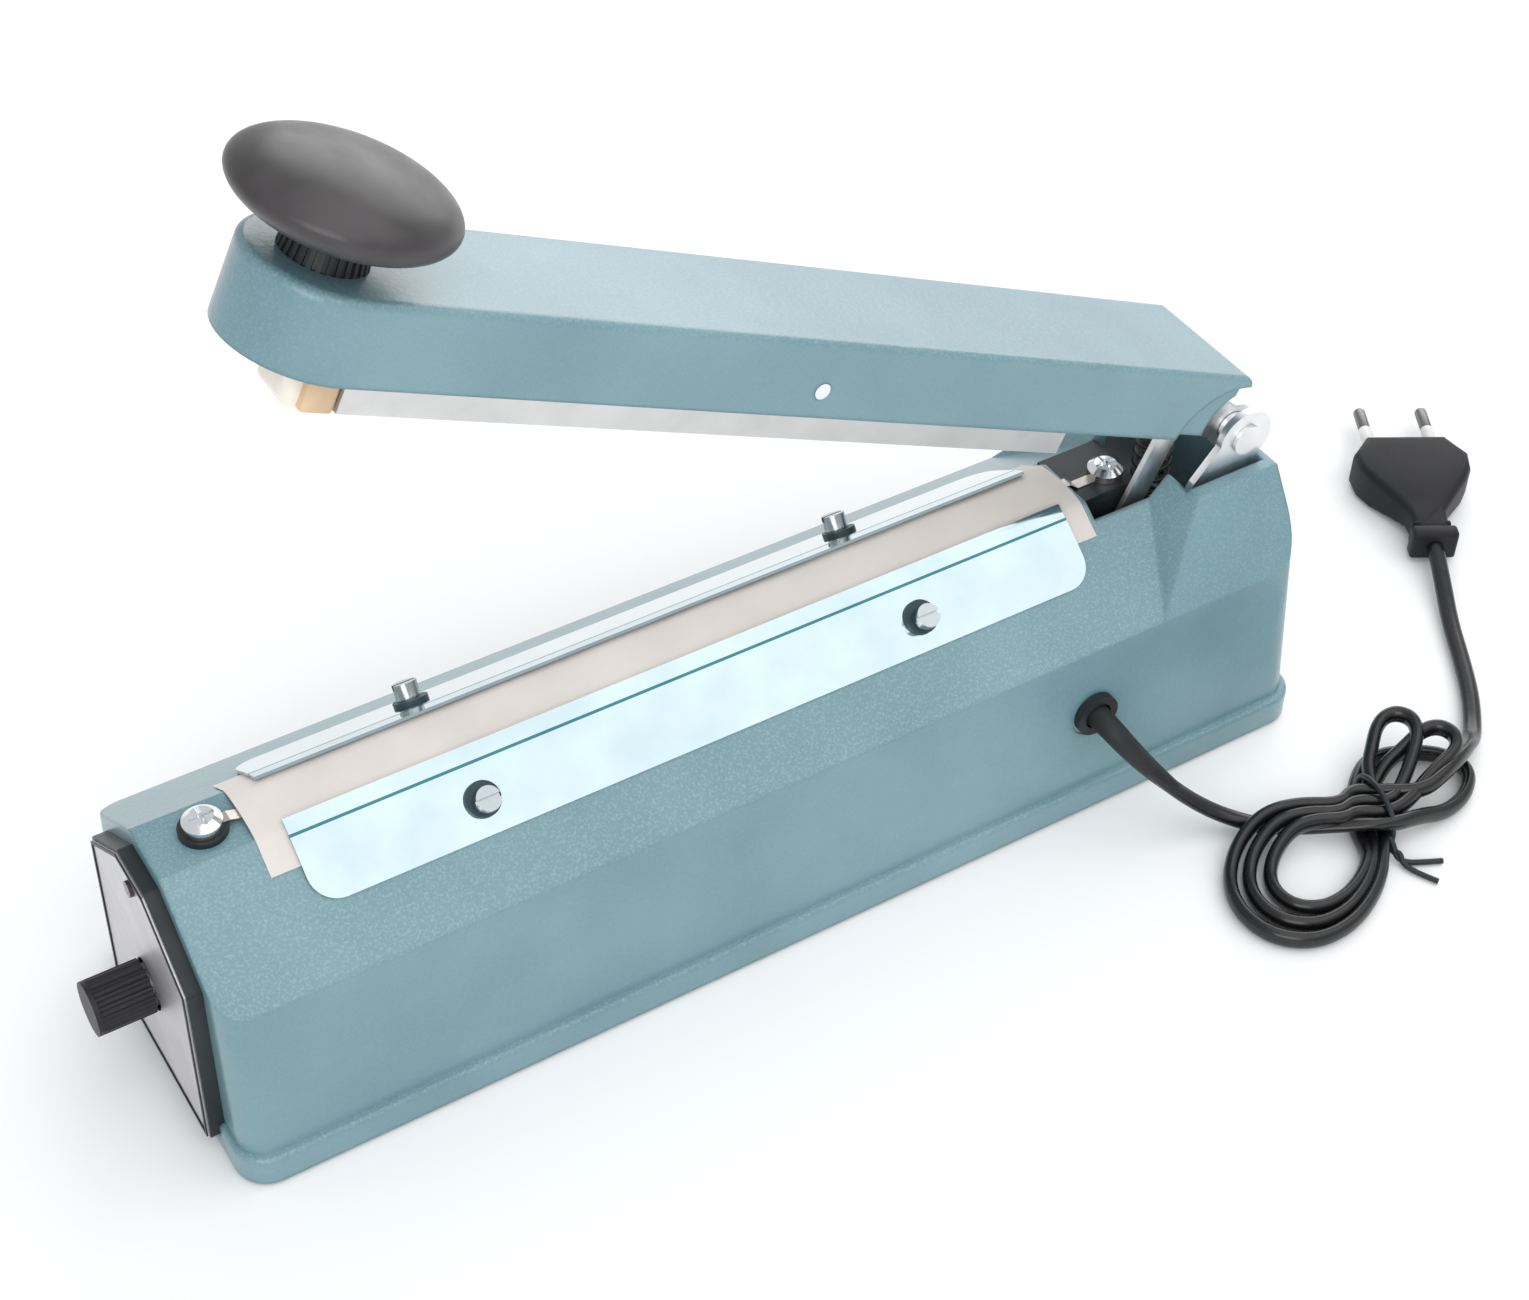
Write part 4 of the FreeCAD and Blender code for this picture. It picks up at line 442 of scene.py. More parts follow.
# %% [markdown]
# ## Pieces made here
#
# Some pieces of the frame are only the right size, and their look needs a closer model. Each
# one is started from a simple shape, worked with mesh operators, and put in place at the
# end. Places on the arm are easier to say with the arm level, so a matrix carries them from
# the level arm to the raised one.

# %% Helpers for new pieces
joints = {joint["name"]: joint for joint in frame["joints"]}
PIVOT = Vector(joints["arm_press"]["pos_m"])
OPEN_ANGLE = 25.1
raise_arm = Matrix.Translation(PIVOT) @ Matrix.Rotation(math.radians(OPEN_ANGLE), 4, "Y")
raise_arm = raise_arm @ Matrix.Scale(MM, 4)
stand_still = Matrix.Scale(MM, 4)


def make_piece(name, shape, materials, body, stands_for=(), place=stand_still, smooth=30.0):
    """Turn a bmesh in millimetres into a finished piece riding on a body."""
    bmesh.ops.transform(shape, matrix=place, verts=shape.verts)
    bmesh.ops.recalc_face_normals(shape, faces=shape.faces)
    data = bpy.data.meshes.new(name)
    shape.to_mesh(data)
    shape.free()
    for material in materials:
        data.materials.append(material)
    data.shade_smooth()
    data.set_sharp_from_angle(angle=math.radians(smooth))
    piece = bpy.data.objects.new(name, data)
    bpy.context.collection.objects.link(piece)
    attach(piece, body)
    if stands_for:
        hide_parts(*stands_for)
    print(name, "faces:", len(data.polygons))
    return piece


def chain(shape, points):
    """A line of joined edges through the points."""
    verts = [shape.verts.new(point) for point in points]
    return verts + [shape.edges.new(pair) for pair in zip(verts, verts[1:])]


def turned(points, centre, steps=72):
    """A lathe-turned form: (radius, height) points spun round an upright axis."""
    shape = bmesh.new()
    places = [Vector(centre) + Vector((radius, 0.0, height)) for radius, height in points]
    line = chain(shape, places)
    bmesh.ops.spin(shape, geom=line, cent=centre, axis=(0, 0, 1), angle=math.tau, steps=steps,
                   use_merge=True)
    bmesh.ops.remove_doubles(shape, verts=shape.verts, dist=0.001)
    return shape


def arc(centre, size, start, end, count):
    """Points along part of an ellipse, angles in degrees."""
    points = []
    for index in range(count):
        angle = math.radians(start + (end - start) * index / (count - 1))
        points.append((centre[0] + size[0] * math.cos(angle), centre[1] + size[1] * math.sin(angle)))
    return points


# %% [markdown]
# ### The knob
#
# A mushroom knob is a turned shape: a flat dome, a soft rim, an underside that sweeps in to
# the neck. Half of its outline is drawn once and spun about the arm's screw. The collar
# below it is a low cone, every other side of which is pushed in to leave ribs.

# %% Turn the mushroom knob and its collar
KNOB_X = -267.6
ARM_TOP = 17.2
KNOB_RADIUS = 23.9
KNOB_HALF_HEIGHT = 8.5
KNOB_CENTRE = 30.5
DOME_START = 90.0
DOME_END = -58.0
NECK_OUTLINE = [(11.2, 22.7), (9.4, 22.3), (8.2, 21.9), (8.0, 21.25), (0.0, 21.25)]
COLLAR_RADIUS = 9.5
COLLAR_TAPER = 0.6
COLLAR_HEIGHT = 4.0
COLLAR_RIBS = 30
GROOVE_DEPTH = 0.5

dome = arc((0.0, KNOB_CENTRE), (KNOB_RADIUS, KNOB_HALF_HEIGHT), DOME_START, DOME_END, 30)
knob_shape = turned(dome + NECK_OUTLINE, (KNOB_X, 0.0, 0.0), 96)
make_piece("mushroom_knob", knob_shape, [knob_brown], "arm", ["arm_knob"],
           raise_arm, 60.0)

collar_shape = bmesh.new()
bmesh.ops.create_cone(collar_shape, cap_ends=True, segments=2 * COLLAR_RIBS,
                      radius1=COLLAR_RADIUS, radius2=COLLAR_RADIUS - COLLAR_TAPER,
                      depth=COLLAR_HEIGHT)
rib_sides = [face for face in collar_shape.faces if abs(face.normal.z) < 0.5]
bmesh.ops.inset_individual(collar_shape, faces=rib_sides[::2], thickness=0.12,
                           depth=-GROOVE_DEPTH)
bmesh.ops.translate(collar_shape, verts=collar_shape.verts,
                    vec=(KNOB_X, 0.0, ARM_TOP + COLLAR_HEIGHT / 2.0))
make_piece("knob_ribbed_collar", collar_shape, [bezel_black], "arm",
           ["knob_collar"], raise_arm)

# %% [markdown]
# ### The bag guides
#
# The two mirror plates are flat sheet, cut with two rounded corners and folded once. So a
# flat blank comes first: a rectangle whose lower corners are bevelled round. Cuts across it
# give the fold somewhere to bend, then every point is carried onto the folded outline. The
# bend shows as a dark line where it reflects something dark, so its own narrow strip of
# faces carries a painted dark reflection: a much darker metal colour.

# %% Fold the mirror plates
PLATE_START = -112.0
PLATE_LENGTH = 211.0
PLATE_THICKNESS = 0.8
CORNER_RADIUS = 7.0
FOLD_OUTLINE = [(7.4, 74.0), (10.7, 72.0), (11.3, 71.6), (12.0, 71.1), (24.6, 61.6)]
CREASE = (3.86, 4.6)
FOLD_CUTS = (1.5, 2.6, 3.2, 3.5, *CREASE, 4.2, 5.0, 5.6, 8.0, 12.0, 15.0)


def along_outline(outline, distance):
    """The point that lies a distance along an outline of straight runs."""
    for (across_a, up_a), (across_b, up_b) in zip(outline, outline[1:]):
        run = math.hypot(across_b - across_a, up_b - up_a)
        if distance <= run or (across_b, up_b) == outline[-1]:
            share = distance / run
            return (across_a + (across_b - across_a) * share, up_a + (up_b - up_a) * share)
        distance -= run


def outline_length(outline):
    """How long an outline is, run by run."""
    return sum(math.dist(first, second) for first, second in zip(outline, outline[1:]))


def folded_plate(name, side, stands_for):
    """One mirror plate; side is -1 for the near one and 1 for the far one."""
    width = outline_length(FOLD_OUTLINE)
    blank = bmesh.new()
    bmesh.ops.create_grid(blank, x_segments=1, y_segments=1, size=0.5)
    bmesh.ops.scale(blank, vec=(PLATE_LENGTH, width, 1.0), verts=blank.verts)
    bmesh.ops.translate(blank, vec=(PLATE_START + PLATE_LENGTH / 2.0, width / 2.0, 0.0),
                        verts=blank.verts)
    outer = [vert for vert in blank.verts if vert.co.y > width / 2.0]
    bmesh.ops.bevel(blank, geom=outer, offset=CORNER_RADIUS, segments=10, profile=0.5,
                    affect="VERTICES", material=-1)
    for cut in sorted(FOLD_CUTS):
        geometry = blank.verts[:] + blank.edges[:] + blank.faces[:]
        bmesh.ops.bisect_plane(blank, geom=geometry, plane_co=(0, cut, 0), plane_no=(0, 1, 0))
    for face in blank.faces:
        # Faces in the crease band take the second slot, the painted dark reflection.
        in_crease = CREASE[0] < face.calc_center_median().y < CREASE[1]
        face.material_index = 1 if in_crease else 0
    for vert in blank.verts:
        spread_out, up = along_outline(FOLD_OUTLINE, vert.co.y)
        vert.co.y = side * spread_out
        vert.co.z = up
    bmesh.ops.recalc_face_normals(blank, faces=blank.faces)
    if sum(face.normal.z for face in blank.faces) < 0:
        bmesh.ops.reverse_faces(blank, faces=blank.faces)
    bmesh.ops.solidify(blank, geom=blank.faces[:], thickness=PLATE_THICKNESS)
    return make_piece(name, blank, [mirror_plate, painted_crease_reflection], "base", [stands_for],
                      smooth=40.0)


folded_plate("near_mirror_guide", -1, "near_retaining_plate")
folded_plate("far_mirror_guide", 1, "far_retaining_plate")

# %% [markdown]
# Each guide is held by two screws that stand on dark washers, coloured dark teal as painted
# shade: the shade of the hole each screw passes through. One washer is a small rectangle
# spun round its axis, then tipped to stand square on the slope.

# %% Cut the dark washers that carry painted shade
def washer_under(place, normal, inner, outer, thick):
    """A flat ring about a point, its axis along normal."""
    shape = bmesh.new()
    line = chain(shape, [(inner, 0, 0), (outer, 0, 0), (outer, 0, thick), (inner, 0, thick),
                         (inner, 0, 0)])
    bmesh.ops.spin(shape, geom=line, cent=(0, 0, 0), axis=(0, 0, 1), angle=math.tau, steps=40,
                   use_merge=True)
    bmesh.ops.remove_doubles(shape, verts=shape.verts, dist=0.001)
    turn_to = Vector(normal).to_track_quat("Z", "Y").to_matrix().to_4x4()
    bmesh.ops.transform(shape, matrix=Matrix.Translation(place) @ turn_to, verts=shape.verts)
    return shape


SCREW_ROWS = (-68.5, 50.5)
SCREW_ACROSS = 18.0
WASHER_HOLE = 1.7
WASHER_RADIUS = 4.3
WASHER_THICKNESS = 0.95
slope_rise = (FOLD_OUTLINE[3][1] - FOLD_OUTLINE[4][1]) / (FOLD_OUTLINE[4][0] - FOLD_OUTLINE[3][0])
up = FOLD_OUTLINE[3][1] - (SCREW_ACROSS - FOLD_OUTLINE[3][0]) * slope_rise
for side in (-1, 1):
    for number, along in enumerate(SCREW_ROWS):
        normal = Vector((0.0, side * slope_rise, 1.0)).normalized()
        ring = washer_under((along, side * SCREW_ACROSS, up), normal, WASHER_HOLE,
                            WASHER_RADIUS, WASHER_THICKNESS)
        make_piece(f"shaded_washer_{number}_{'near' if side < 0 else 'far'}", ring,
                   [washer_painted_shade], "base")

# %% [markdown]
# ### The silicone strip
#
# Under the press bar runs a silicone strip that presses the bag on the hot ribbon. Its end
# sticks out past the bar, rounded by wear, and a cream clip holds it there. Both start as
# plain blocks whose edges are bevelled: widely at the free end, lightly elsewhere.

# %% Shape the silicone strip and its clip
def soft_block(low, high, edge, end_edge=0.0):
    """A block between two corners with bevelled edges; its -X end may be rounder."""
    shape = bmesh.new()
    bmesh.ops.create_cube(shape, size=1.0)
    size = Vector(high) - Vector(low)
    bmesh.ops.scale(shape, vec=size, verts=shape.verts)
    bmesh.ops.translate(shape, vec=(Vector(high) + Vector(low)) / 2.0, verts=shape.verts)
    if end_edge > 0.0:
        end = [item for item in shape.edges if max(v.co.x for v in item.verts) < low[0] + 0.01]
        bmesh.ops.bevel(shape, geom=end, offset=end_edge, segments=6, profile=0.5,
                        affect="EDGES", material=-1)
    sharp = [item for item in shape.edges if item.calc_face_angle(0.0) > 0.6]
    bmesh.ops.bevel(shape, geom=sharp, offset=edge, segments=3, profile=0.5,
                    affect="EDGES", material=-1)
    return shape


def long_block(start, end, half_width, low, high, edge, end_edge=0.0):
    """A soft block along the arm, centred across it."""
    return soft_block((start, -half_width, low), (end, half_width, high), edge, end_edge)


BAR_FRONT = -258.5
BAR_REAR = -54.0
STRIP_OVERHANG = 11.5
CLIP_LENGTH = 7.5
CLIP_GAP = 0.1
strip_shape = long_block(BAR_FRONT - STRIP_OVERHANG, BAR_REAR, 6.5, -14.2, -2.6, 0.8, 3.2)
make_piece("silicone_lip", strip_shape, [silicone_white], "press_bar",
           ["silicone_strip"], raise_arm, 40.0)
clip_end = BAR_FRONT - CLIP_GAP
clip_shape = long_block(clip_end - CLIP_LENGTH, clip_end, 8.6, -13.7, -2.2, 0.8)
make_piece("strip_end_clip", clip_shape, [clip_cream], "press_bar", (),
           raise_arm, 40.0)

# %% [markdown]
# ### The mains plug
#
# A flat two-pin plug has a wide head, shoulders that draw in to a neck, and a thick collar
# where the lead enters. Half of the outline is listed, mirrored into one flat face, and
# drawn up into a block. The neck end is then squeezed thinner, and every edge is rounded.
# The collar is a few soft blocks, added to the same mesh.

# %% Mould the plug
PLUG_PLACE = (233.2, -16.0, 0.0)
PLUG_TURN = 60.5
PLUG_THICKNESS = 12.4
PLUG_HALF_OUTLINE = [(4.0, 4.8), (12.5, 5.6), (16.0, 7.8), (24.0, 13.6), (29.0, 16.2),
                     (35.5, 16.9), (39.5, 14.2), (43.5, 11.6)]
PLUG_ROUNDING = 2.2
NECK_SHARE = 0.66
NECK_LENGTH = 12.0
SHOULDER_LENGTH = 14.0
COLLAR_BLOCKS = [((0.3, -6.6, 1.5), (4.9, 6.6, 10.9), 1.1),
                 ((6.1, -5.6, 2.2), (7.7, 5.6, 10.2), 1.1),
                 ((0.4, -4.6, 3.4), (6.5, 4.6, 9.6), 1.0)]
place_plug = Matrix.Scale(MM, 4) @ Matrix.Translation(PLUG_PLACE)
place_plug = place_plug @ Matrix.Rotation(math.radians(PLUG_TURN), 4, "Z")


def neck_share(along):
    """How thick the plug is at a distance from its grip, as a share of its head."""
    past_neck = max(0.0, along - NECK_LENGTH)
    return min(1.0, NECK_SHARE + (1.0 - NECK_SHARE) * past_neck / SHOULDER_LENGTH)


def add_shape(whole, part):
    """Move one shape's faces into another."""
    carrier = bpy.data.meshes.new("carrier")
    part.to_mesh(carrier)
    part.free()
    whole.from_mesh(carrier)
    bpy.data.meshes.remove(carrier)


plug_shape = bmesh.new()
edge_line = [(along, -half) for along, half in PLUG_HALF_OUTLINE]
edge_line += [(along, half) for along, half in reversed(PLUG_HALF_OUTLINE)]
flat_face = plug_shape.faces.new([plug_shape.verts.new((x, y, 0.0)) for x, y in edge_line])
drawn_up = bmesh.ops.extrude_face_region(plug_shape, geom=[flat_face])
raised_verts = [item for item in drawn_up["geom"] if isinstance(item, bmesh.types.BMVert)]
bmesh.ops.translate(plug_shape, vec=(0.0, 0.0, PLUG_THICKNESS), verts=raised_verts)
plug_middle = PLUG_THICKNESS / 2.0
for vert in plug_shape.verts:
    vert.co.z = plug_middle + (vert.co.z - plug_middle) * neck_share(vert.co.x)
bmesh.ops.recalc_face_normals(plug_shape, faces=plug_shape.faces)
rims = [item for item in plug_shape.edges if item.calc_face_angle(0.0) > 1.0]
bmesh.ops.bevel(plug_shape, geom=rims, offset=PLUG_ROUNDING, segments=4, profile=0.5,
                affect="EDGES", material=-1)
for low_corner, high_corner, block_edge in COLLAR_BLOCKS:
    add_shape(plug_shape, soft_block(low_corner, high_corner, block_edge))
plug_piece = make_piece("two_pin_plug", plug_shape, [plug_black], "base",
                        ["mains_plug"], place_plug, 35.0)

# %% [markdown]
# The two round pins wear pale insulating sleeves for their first half, so that only the
# tips are bare metal. Sleeve and tip are two rods in one line, each with its rim bevelled.

# %% Turn the pins
PIN_SPACING = 18.6
PIN_RADIUS = 1.9
PIN_ROOT = 42.5
SLEEVE_END = 53.0
PIN_END = 62.0
TIP_STEP = 0.1
TIP_OVERLAP = 0.5


def rods(start, end, radius, edge):
    """The same stretch of both pins, as one shape with rounded rims."""
    shape = bmesh.new()
    for side in (-1, 1):
        made = bmesh.ops.create_cone(shape, cap_ends=True, segments=28, radius1=radius,
                                     radius2=radius, depth=end - start)
        bmesh.ops.rotate(shape, cent=(0, 0, 0), matrix=Matrix.Rotation(math.pi / 2.0, 3, "Y"),
                         verts=made["verts"])
        middle = ((start + end) / 2.0, side * PIN_SPACING / 2.0, plug_middle)
        bmesh.ops.translate(shape, vec=middle, verts=made["verts"])
    hoops = [item for item in shape.edges if item.calc_face_angle(0.0) > 1.0]
    bmesh.ops.bevel(shape, geom=hoops, offset=edge, segments=4, profile=0.5, affect="EDGES",
                    material=-1)
    return shape


sleeve_shape = rods(PIN_ROOT, SLEEVE_END, PIN_RADIUS, 0.2)
sleeves = make_piece("pin_sleeves", sleeve_shape, [sleeve_white], "base", (),
                     place_plug, 35.0)
tip_shape = rods(SLEEVE_END - TIP_OVERLAP, PIN_END, PIN_RADIUS - TIP_STEP, 1.0)
pin_tips = make_piece("pin_tips", tip_shape, [pin_metal], "base", ["plug_pins"],
                      place_plug, 35.0)

# %% [markdown]
# ### The sealing cloth
#
# The cloth is one strip laid over the hot ribbon and down both slopes, where the guides
# clamp it. It is a flat grid, carried onto the same kind of outline as the guides. A slight
# wave along its length keeps it from looking like sheet metal.

# %% Lay the sealing cloth
CLOTH_START = -119.0
CLOTH_LENGTH = 224.5
CLOTH_OUTLINE = [(0.0, 73.28), (1.8, 73.26), (5.3, 73.02), (8.5, 72.28), (16.0, 66.95)]
CLOTH_WAVE = 0.05


def cloth_height(across):
    """Height of the cloth's lower face at a distance from the middle."""
    for (across_a, up_a), (across_b, up_b) in zip(CLOTH_OUTLINE, CLOTH_OUTLINE[1:]):
        if across <= across_b:
            return up_a + (up_b - up_a) * (across - across_a) / (across_b - across_a)
    return CLOTH_OUTLINE[-1][1]


cloth_shape = bmesh.new()
bmesh.ops.create_grid(cloth_shape, x_segments=112, y_segments=36, size=0.5)
bmesh.ops.scale(cloth_shape, vec=(CLOTH_LENGTH, 2.0 * CLOTH_OUTLINE[-1][0], 1.0),
                verts=cloth_shape.verts)
bmesh.ops.translate(cloth_shape, vec=(CLOTH_START + CLOTH_LENGTH / 2.0, 0.0, 0.0),
                    verts=cloth_shape.verts)
for vert in cloth_shape.verts:
    wave = math.sin(vert.co.x * 0.21) + math.sin(vert.co.x * 0.083 + vert.co.y * 0.3)
    vert.co.z = cloth_height(abs(vert.co.y)) + CLOTH_WAVE * wave
bmesh.ops.smooth_vert(cloth_shape, verts=cloth_shape.verts, factor=0.4, use_axis_z=True)
sealing_cloth = make_piece("sealing_cloth", cloth_shape, [beige_cloth], "base",
                           ["release_cloth"], smooth=60.0)

# %% [markdown]
# ### The timer plate's border
#
# The silver plate behind the timer knob lies in a shallow tray, so that a thin black rim
# stands round it. The plate's own outline is drawn once, shrunk, and only the rim is kept.

# %% Raise the rim
LABEL_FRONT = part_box("control_label")[0][0] / MM
LABEL_EDGE = [(-26.6, 5.4), (26.6, 5.4), (26.6, 53.7), (7.5, 67.3), (-7.5, 67.3), (-26.6, 53.7)]

RIM_LIFT = 0.02
RIM_INSET = 0.05
RIM_WIDTH = 0.75
RIM_HEIGHT = 0.35

border = bmesh.new()
corners = [border.verts.new((LABEL_FRONT - RIM_LIFT, side_way, up)) for side_way, up in LABEL_EDGE]
border.faces.new(corners)
bmesh.ops.inset_region(border, faces=border.faces[:], thickness=RIM_INSET, use_boundary=True,
                       use_even_offset=True)
outer_rim = [face for face in border.faces if len(face.verts) == 4]
bmesh.ops.delete(border, geom=outer_rim, context="FACES")
bmesh.ops.inset_region(border, faces=border.faces[:], thickness=RIM_WIDTH, use_boundary=True,
                       use_even_offset=True)
middle = [face for face in border.faces if len(face.verts) == 6]
bmesh.ops.delete(border, geom=middle, context="FACES")
raised = bmesh.ops.extrude_face_region(border, geom=border.faces[:])
moved = [item for item in raised["geom"] if isinstance(item, bmesh.types.BMVert)]
bmesh.ops.translate(border, vec=(-RIM_HEIGHT, 0.0, 0.0), verts=moved)
make_piece("timer_plate_rim", border, [bezel_black], "base")

# %% [markdown]
# ## The mains cord
#
# The lead leaves the housing through a rubber gland, drops to the table, is wound into a
# bow of loose turns held by a wire tie, and runs on to the plug. It is one flat twin lead.
# A single smooth spline carries it all: the first stretch, the turns, and the last stretch.
# Each turn crosses itself at the tie, on two layers, and the left-hand loops fan out.

# %% Lay the route of the cord
GLAND_START = Vector((91.5, -40.0, 32.0))
MACHINE_RUN = [
    (0.0, 0.0, 0.0), (0.0, -5.5, 0.0), (2.5, -10.5, -4.0), (7.5, -15.0, -11.0),
    (14.0, -19.5, -18.5), (21.0, -24.0, -24.5), (28.0, -29.0, -28.0), (35.0, -34.5, -29.3),
]
PLUG_RUN = [
    (193.0, -76.0, 2.7), (203.0, -64.5, 2.7), (211.0, -52.0, 2.7), (218.5, -39.0, 3.0),
    (226.5, -27.0, 4.5), (233.2, -16.0, 6.5),
]
CORD_WIDTH = 5.2
CORD_THICKNESS = 3.8
TURNS = 3
STRAND_STEP = 3.8
LOWER = 2.7
UPPER = 8.0
LEFT_CENTRE = Vector((123.0, -91.0))
LEFT_LOOP = [
    (145.0, -94.5, 2.7), (139.5, -100.5, 2.7), (131.0, -106.0, 2.7), (121.0, -109.5, 2.7),
    (110.5, -109.0, 2.7), (102.5, -102.5, 2.7), (100.5, -92.5, 2.7), (104.5, -82.5, 2.7),
    (112.5, -75.5, 5.0), (122.5, -72.5, 8.0), (132.5, -74.5, 8.2), (142.0, -80.5, 8.2),
]
RIGHT_LOOPS = [
    [(158.5, -92.5, 6.5), (168.0, -93.0, 3.0), (177.5, -90.5, 2.7), (184.0, -84.5, 2.7),
     (182.0, -77.0, 2.7), (175.0, -71.5, 2.7), (166.0, -68.0, 2.7), (158.5, -69.5, 2.7)],
    [(159.0, -88.0, 8.2), (168.0, -85.0, 9.8), (178.0, -83.5, 12.0), (181.3, -79.5, 12.6),
     (180.0, -74.8, 12.6), (175.3, -73.1, 12.0), (167.5, -74.5, 9.8), (160.5, -75.3, 7.4)],
    [(158.0, -84.5, 8.2), (165.5, -80.0, 10.5), (173.0, -74.2, 13.0), (174.8, -69.3, 13.8),
     (171.8, -65.2, 13.5), (166.8, -65.4, 12.2), (161.3, -70.0, 9.6), (156.8, -74.0, 7.4)],
]
LEFT_SIZES = [(0.66, 0.585, 4.0), (0.82, 0.79, 1.5), (1.0, 1.0, 0.0)]
LEAVING_RUN = [(163.0, -88.5, 9.5), (173.0, -86.5, 10.5), (183.0, -82.5, 8.5)]
TIE_CENTRE = Vector((148.6, -85.0))
TIE_HALF_SPAN = 4.5
ALONG_UPPER = Vector((0.84, -0.54))
ALONG_LOWER = Vector((-0.47, -0.88))


def quarter_turn(direction):
    """The level direction a quarter turn to the left of the given one."""
    return Vector((-direction.y, direction.x))


def tie_crossing(direction, lane, height):
    """Two route points, before and after the tie, in the lane-th place across it."""
    middle = TIE_CENTRE + quarter_turn(direction) * lane * STRAND_STEP
    ends = (middle - direction * TIE_HALF_SPAN, middle + direction * TIE_HALF_SPAN)
    return [(end.x, end.y, height) for end in ends]


def left_loop(turn):
    """The left-hand loop of one turn; inner turns are smaller and lie to the right."""
    wide, deep, aside = LEFT_SIZES[turn]
    loop = []
    for x, y, z in LEFT_LOOP:
        from_x = (x - LEFT_CENTRE.x) * wide + aside
        from_y = (y - LEFT_CENTRE.y) * deep
        loop.append((LEFT_CENTRE.x + from_x, LEFT_CENTRE.y + from_y, z))
    return loop


route = [tuple(GLAND_START + Vector(step)) for step in MACHINE_RUN]
for turn_index in range(TURNS):
    lane = turn_index - TURNS / 2.0
    route += tie_crossing(ALONG_UPPER, lane, UPPER)
    route += RIGHT_LOOPS[turn_index]
    route += tie_crossing(ALONG_LOWER, lane + 0.5, LOWER)
    route += left_loop(turn_index)
route += tie_crossing(ALONG_UPPER, TURNS / 2.0, UPPER)
route += LEAVING_RUN + PLUG_RUN
print("route points:", len(route))

# %% [markdown]
# The lead is an oval in section. A curve can sweep any flat outline along itself, so the
# outline is drawn once as a small closed curve. Each point's tilt says whether the oval
# lies flat on the table, or stands on edge where the turns are packed side by side.

# %% Sweep the flat lead along its route
OVAL_SIDES = 10
CURVE_STEPS = 8

oval_data = bpy.data.curves.new("lead_section", "CURVE")
oval_data.dimensions = "2D"
oval_line = oval_data.splines.new("NURBS")
oval_line.points.add(OVAL_SIDES - 1)
half_width = CORD_WIDTH * MM / 2.0
half_depth = CORD_THICKNESS * MM / 2.0
for index in range(OVAL_SIDES):
    angle = math.tau * index / OVAL_SIDES
    section_x = half_depth * math.cos(angle)
    section_y = half_width * math.sin(angle)
    oval_line.points[index].co = (section_x, section_y, 0.0, 1.0)
oval_line.order_u = 4
oval_line.use_cyclic_u = True
oval = bpy.data.objects.new("lead_section", oval_data)

cord_data = bpy.data.curves.new("mains_lead", "CURVE")
cord_data.dimensions = "3D"
cord_data.twist_mode = "Z_UP"
line = cord_data.splines.new("NURBS")
line.points.add(len(route) - 1)
hank_first = len(MACHINE_RUN)
hank_last = len(route) - len(PLUG_RUN)
for index, (x, y, z) in enumerate(route):
    line.points[index].co = (x * MM, y * MM, z * MM, 1.0)
    inside = min(index - hank_first, hank_last - index)
    line.points[index].tilt = 0.0 if inside > 0 else math.radians(90.0)
line.order_u = 3
line.use_endpoint_u = True
line.resolution_u = CURVE_STEPS
cord_data.bevel_mode = "OBJECT"
cord_data.bevel_object = oval
cord_data.use_fill_caps = True
mains_lead = bpy.data.objects.new("mains_lead", cord_data)
bpy.context.collection.objects.link(mains_lead)
cord_data.materials.append(cord_black)
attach(mains_lead, "base")
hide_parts("power_cord_machine_end", "power_cord_plug_end", "power_cord_hank")


def curve_length(piece):
    """The real length of a curve's own line, in metres."""
    plain = piece.data.copy()
    plain.bevel_mode = "ROUND"
    plain.bevel_depth = 0.0
    plain.bevel_object = None
    probe = bpy.data.objects.new("length_probe", plain)
    bpy.context.collection.objects.link(probe)
    bpy.context.view_layer.update()
    wire = bpy.data.meshes.new_from_object(probe.evaluated_get(bpy.context.evaluated_depsgraph_get()))
    total = 0.0
    for edge in wire.edges:
        first, second = (wire.vertices[v].co for v in edge.vertices)
        total += (second - first).length
    bpy.data.objects.remove(probe)
    bpy.data.meshes.remove(wire)
    bpy.data.curves.remove(plain)
    return total


# %% [markdown]
# The rubber gland grips the lead with a short tapered sleeve, and a paper-covered wire tie
# holds the turns: it goes once round them, is twisted twice, and its two ends spread out.
# Both are thin round things that follow a line, so both are curves with a round section.

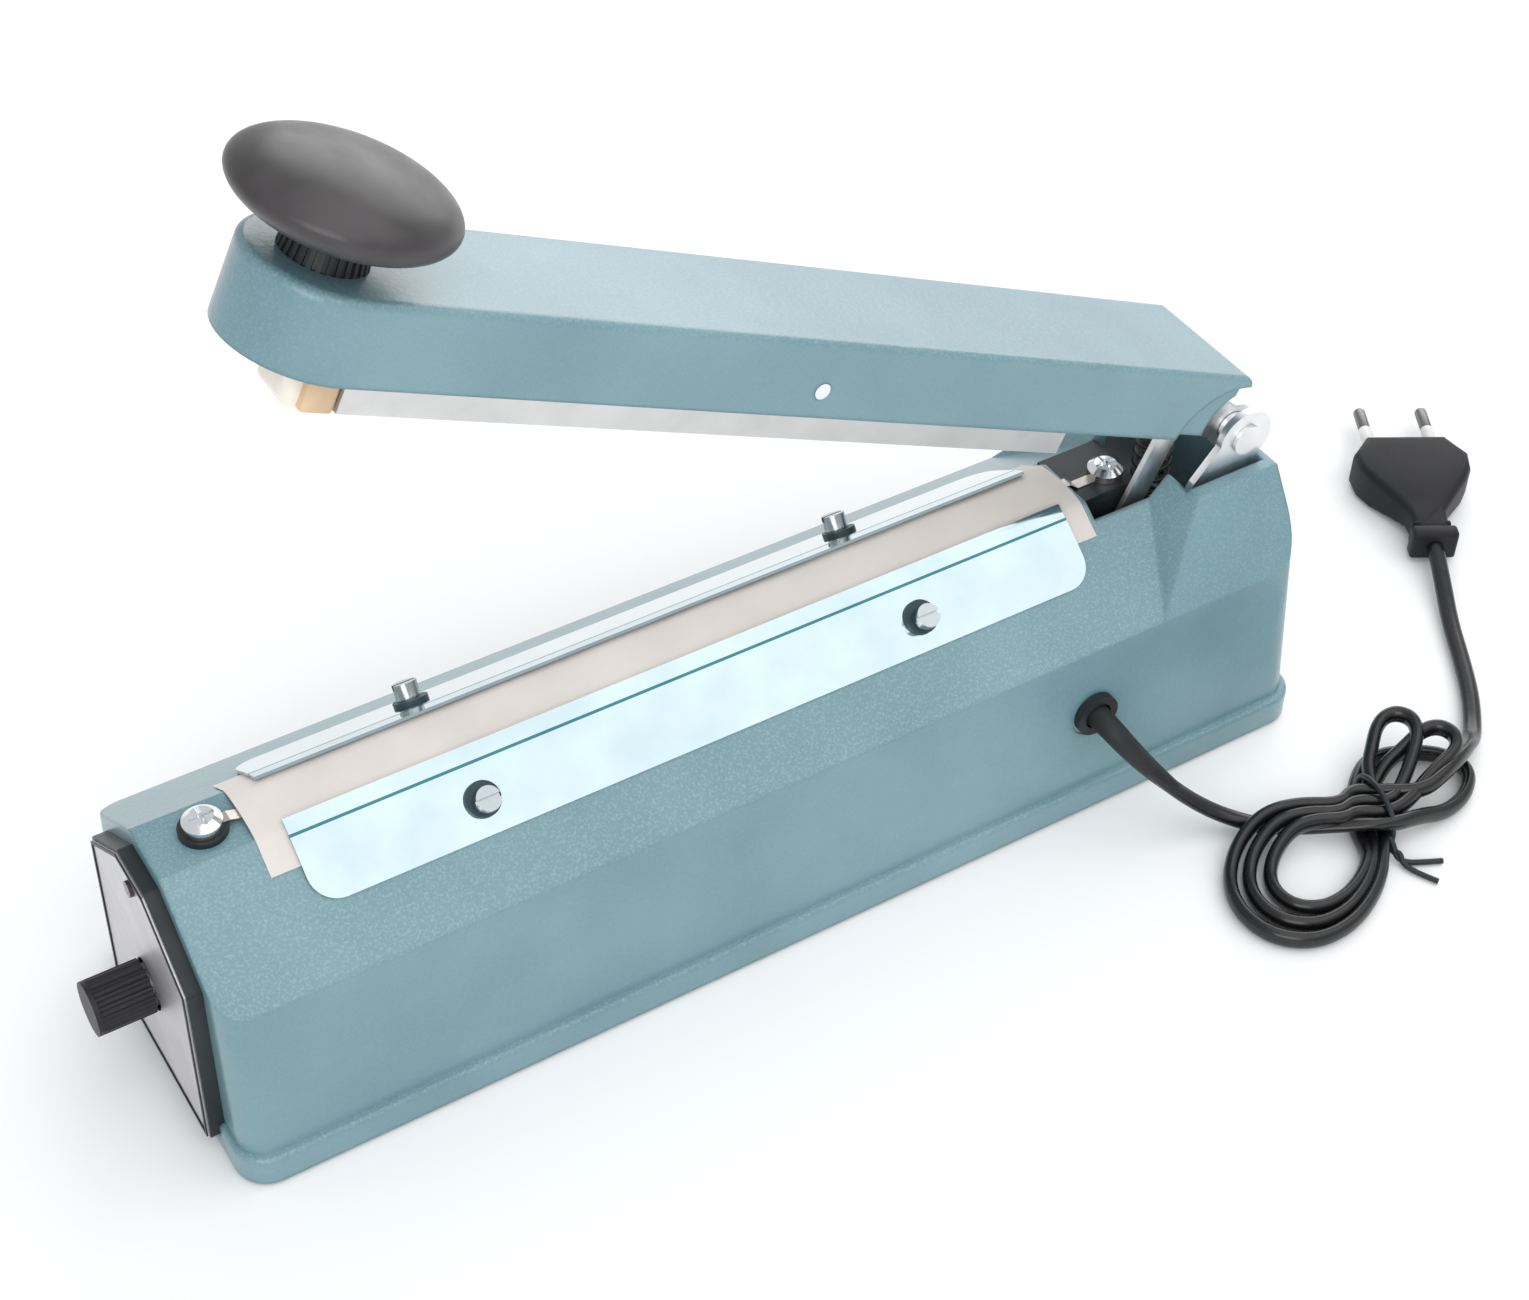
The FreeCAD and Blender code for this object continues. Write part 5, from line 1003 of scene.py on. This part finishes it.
# %% Make the sleeve and the wire tie
def round_curve(name, lines, radius, material):
    """Round rods along smooth lines; each point is (x, y, z, width), width times radius."""
    data = bpy.data.curves.new(name, "CURVE")
    data.dimensions = "3D"
    data.bevel_depth = radius * MM
    data.bevel_resolution = 4
    data.use_fill_caps = True
    for points in lines:
        rod = data.splines.new("NURBS")
        rod.points.add(len(points) - 1)
        for point, (x, y, z, width) in zip(rod.points, points):
            point.co = (x * MM, y * MM, z * MM, 1.0)
            point.radius = width
        rod.order_u = 3
        rod.use_endpoint_u = True
        rod.resolution_u = CURVE_STEPS
    piece = bpy.data.objects.new(name, data)
    bpy.context.collection.objects.link(piece)
    data.materials.append(material)
    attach(piece, "base")
    return piece


SLEEVE_RADIUS = 3.3
SLEEVE_WIDTHS = (1.0, 0.95, 0.88, 0.76, 0.55)
sleeve_line = []
for step, width in zip(MACHINE_RUN, SLEEVE_WIDTHS):
    sleeve_line.append((*(GLAND_START + Vector(step)), width))
round_curve("gland_sleeve", [sleeve_line], SLEEVE_RADIUS, rubber_black)

TIE_MIDDLE = Vector((150.6, -84.0, 6.6))
TIE_ACROSS = Vector((0.24, 0.97, 0.0))
TIE_REACH = 10.0
TIE_RISE = 5.9
TIE_RADIUS = 0.75
WRAP_STEPS = 8
WRAP_START = 200.0
WRAP_LEAD = 0.12
wrap = []
for index in range(WRAP_STEPS + 1):
    angle = math.radians(WRAP_START) + math.tau * index / WRAP_STEPS
    place = TIE_MIDDLE + TIE_ACROSS * math.cos(angle) * TIE_REACH
    up = place.z + math.sin(angle) * TIE_RISE
    wrap.append((place.x + WRAP_LEAD * index, place.y, up, 1.0))
first_tail = [wrap[0], (148.0, -95.5, 3.4, 1.0), (147.3, -97.5, 1.8, 1.0),
              (148.6, -99.6, 1.2, 1.0), (152.4, -101.6, 1.0, 1.0), (157.3, -103.9, 1.0, 1.0)]
second_tail = [wrap[-1], (147.0, -95.3, 1.8, 1.0), (148.3, -97.5, 3.2, 1.0),
               (147.4, -99.8, 1.4, 1.0), (149.0, -104.0, 1.0, 1.0), (151.6, -108.6, 1.0, 1.0)]
wire_tie = round_curve("wire_tie", [wrap, first_tail, second_tail], TIE_RADIUS, bezel_black)
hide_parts("cord_tie")

# %% [markdown]
# Last, the lead's length is measured from the curve, not typed in.

lead_length = curve_length(mains_lead)
print("lead length:", round(lead_length, 3), "m")
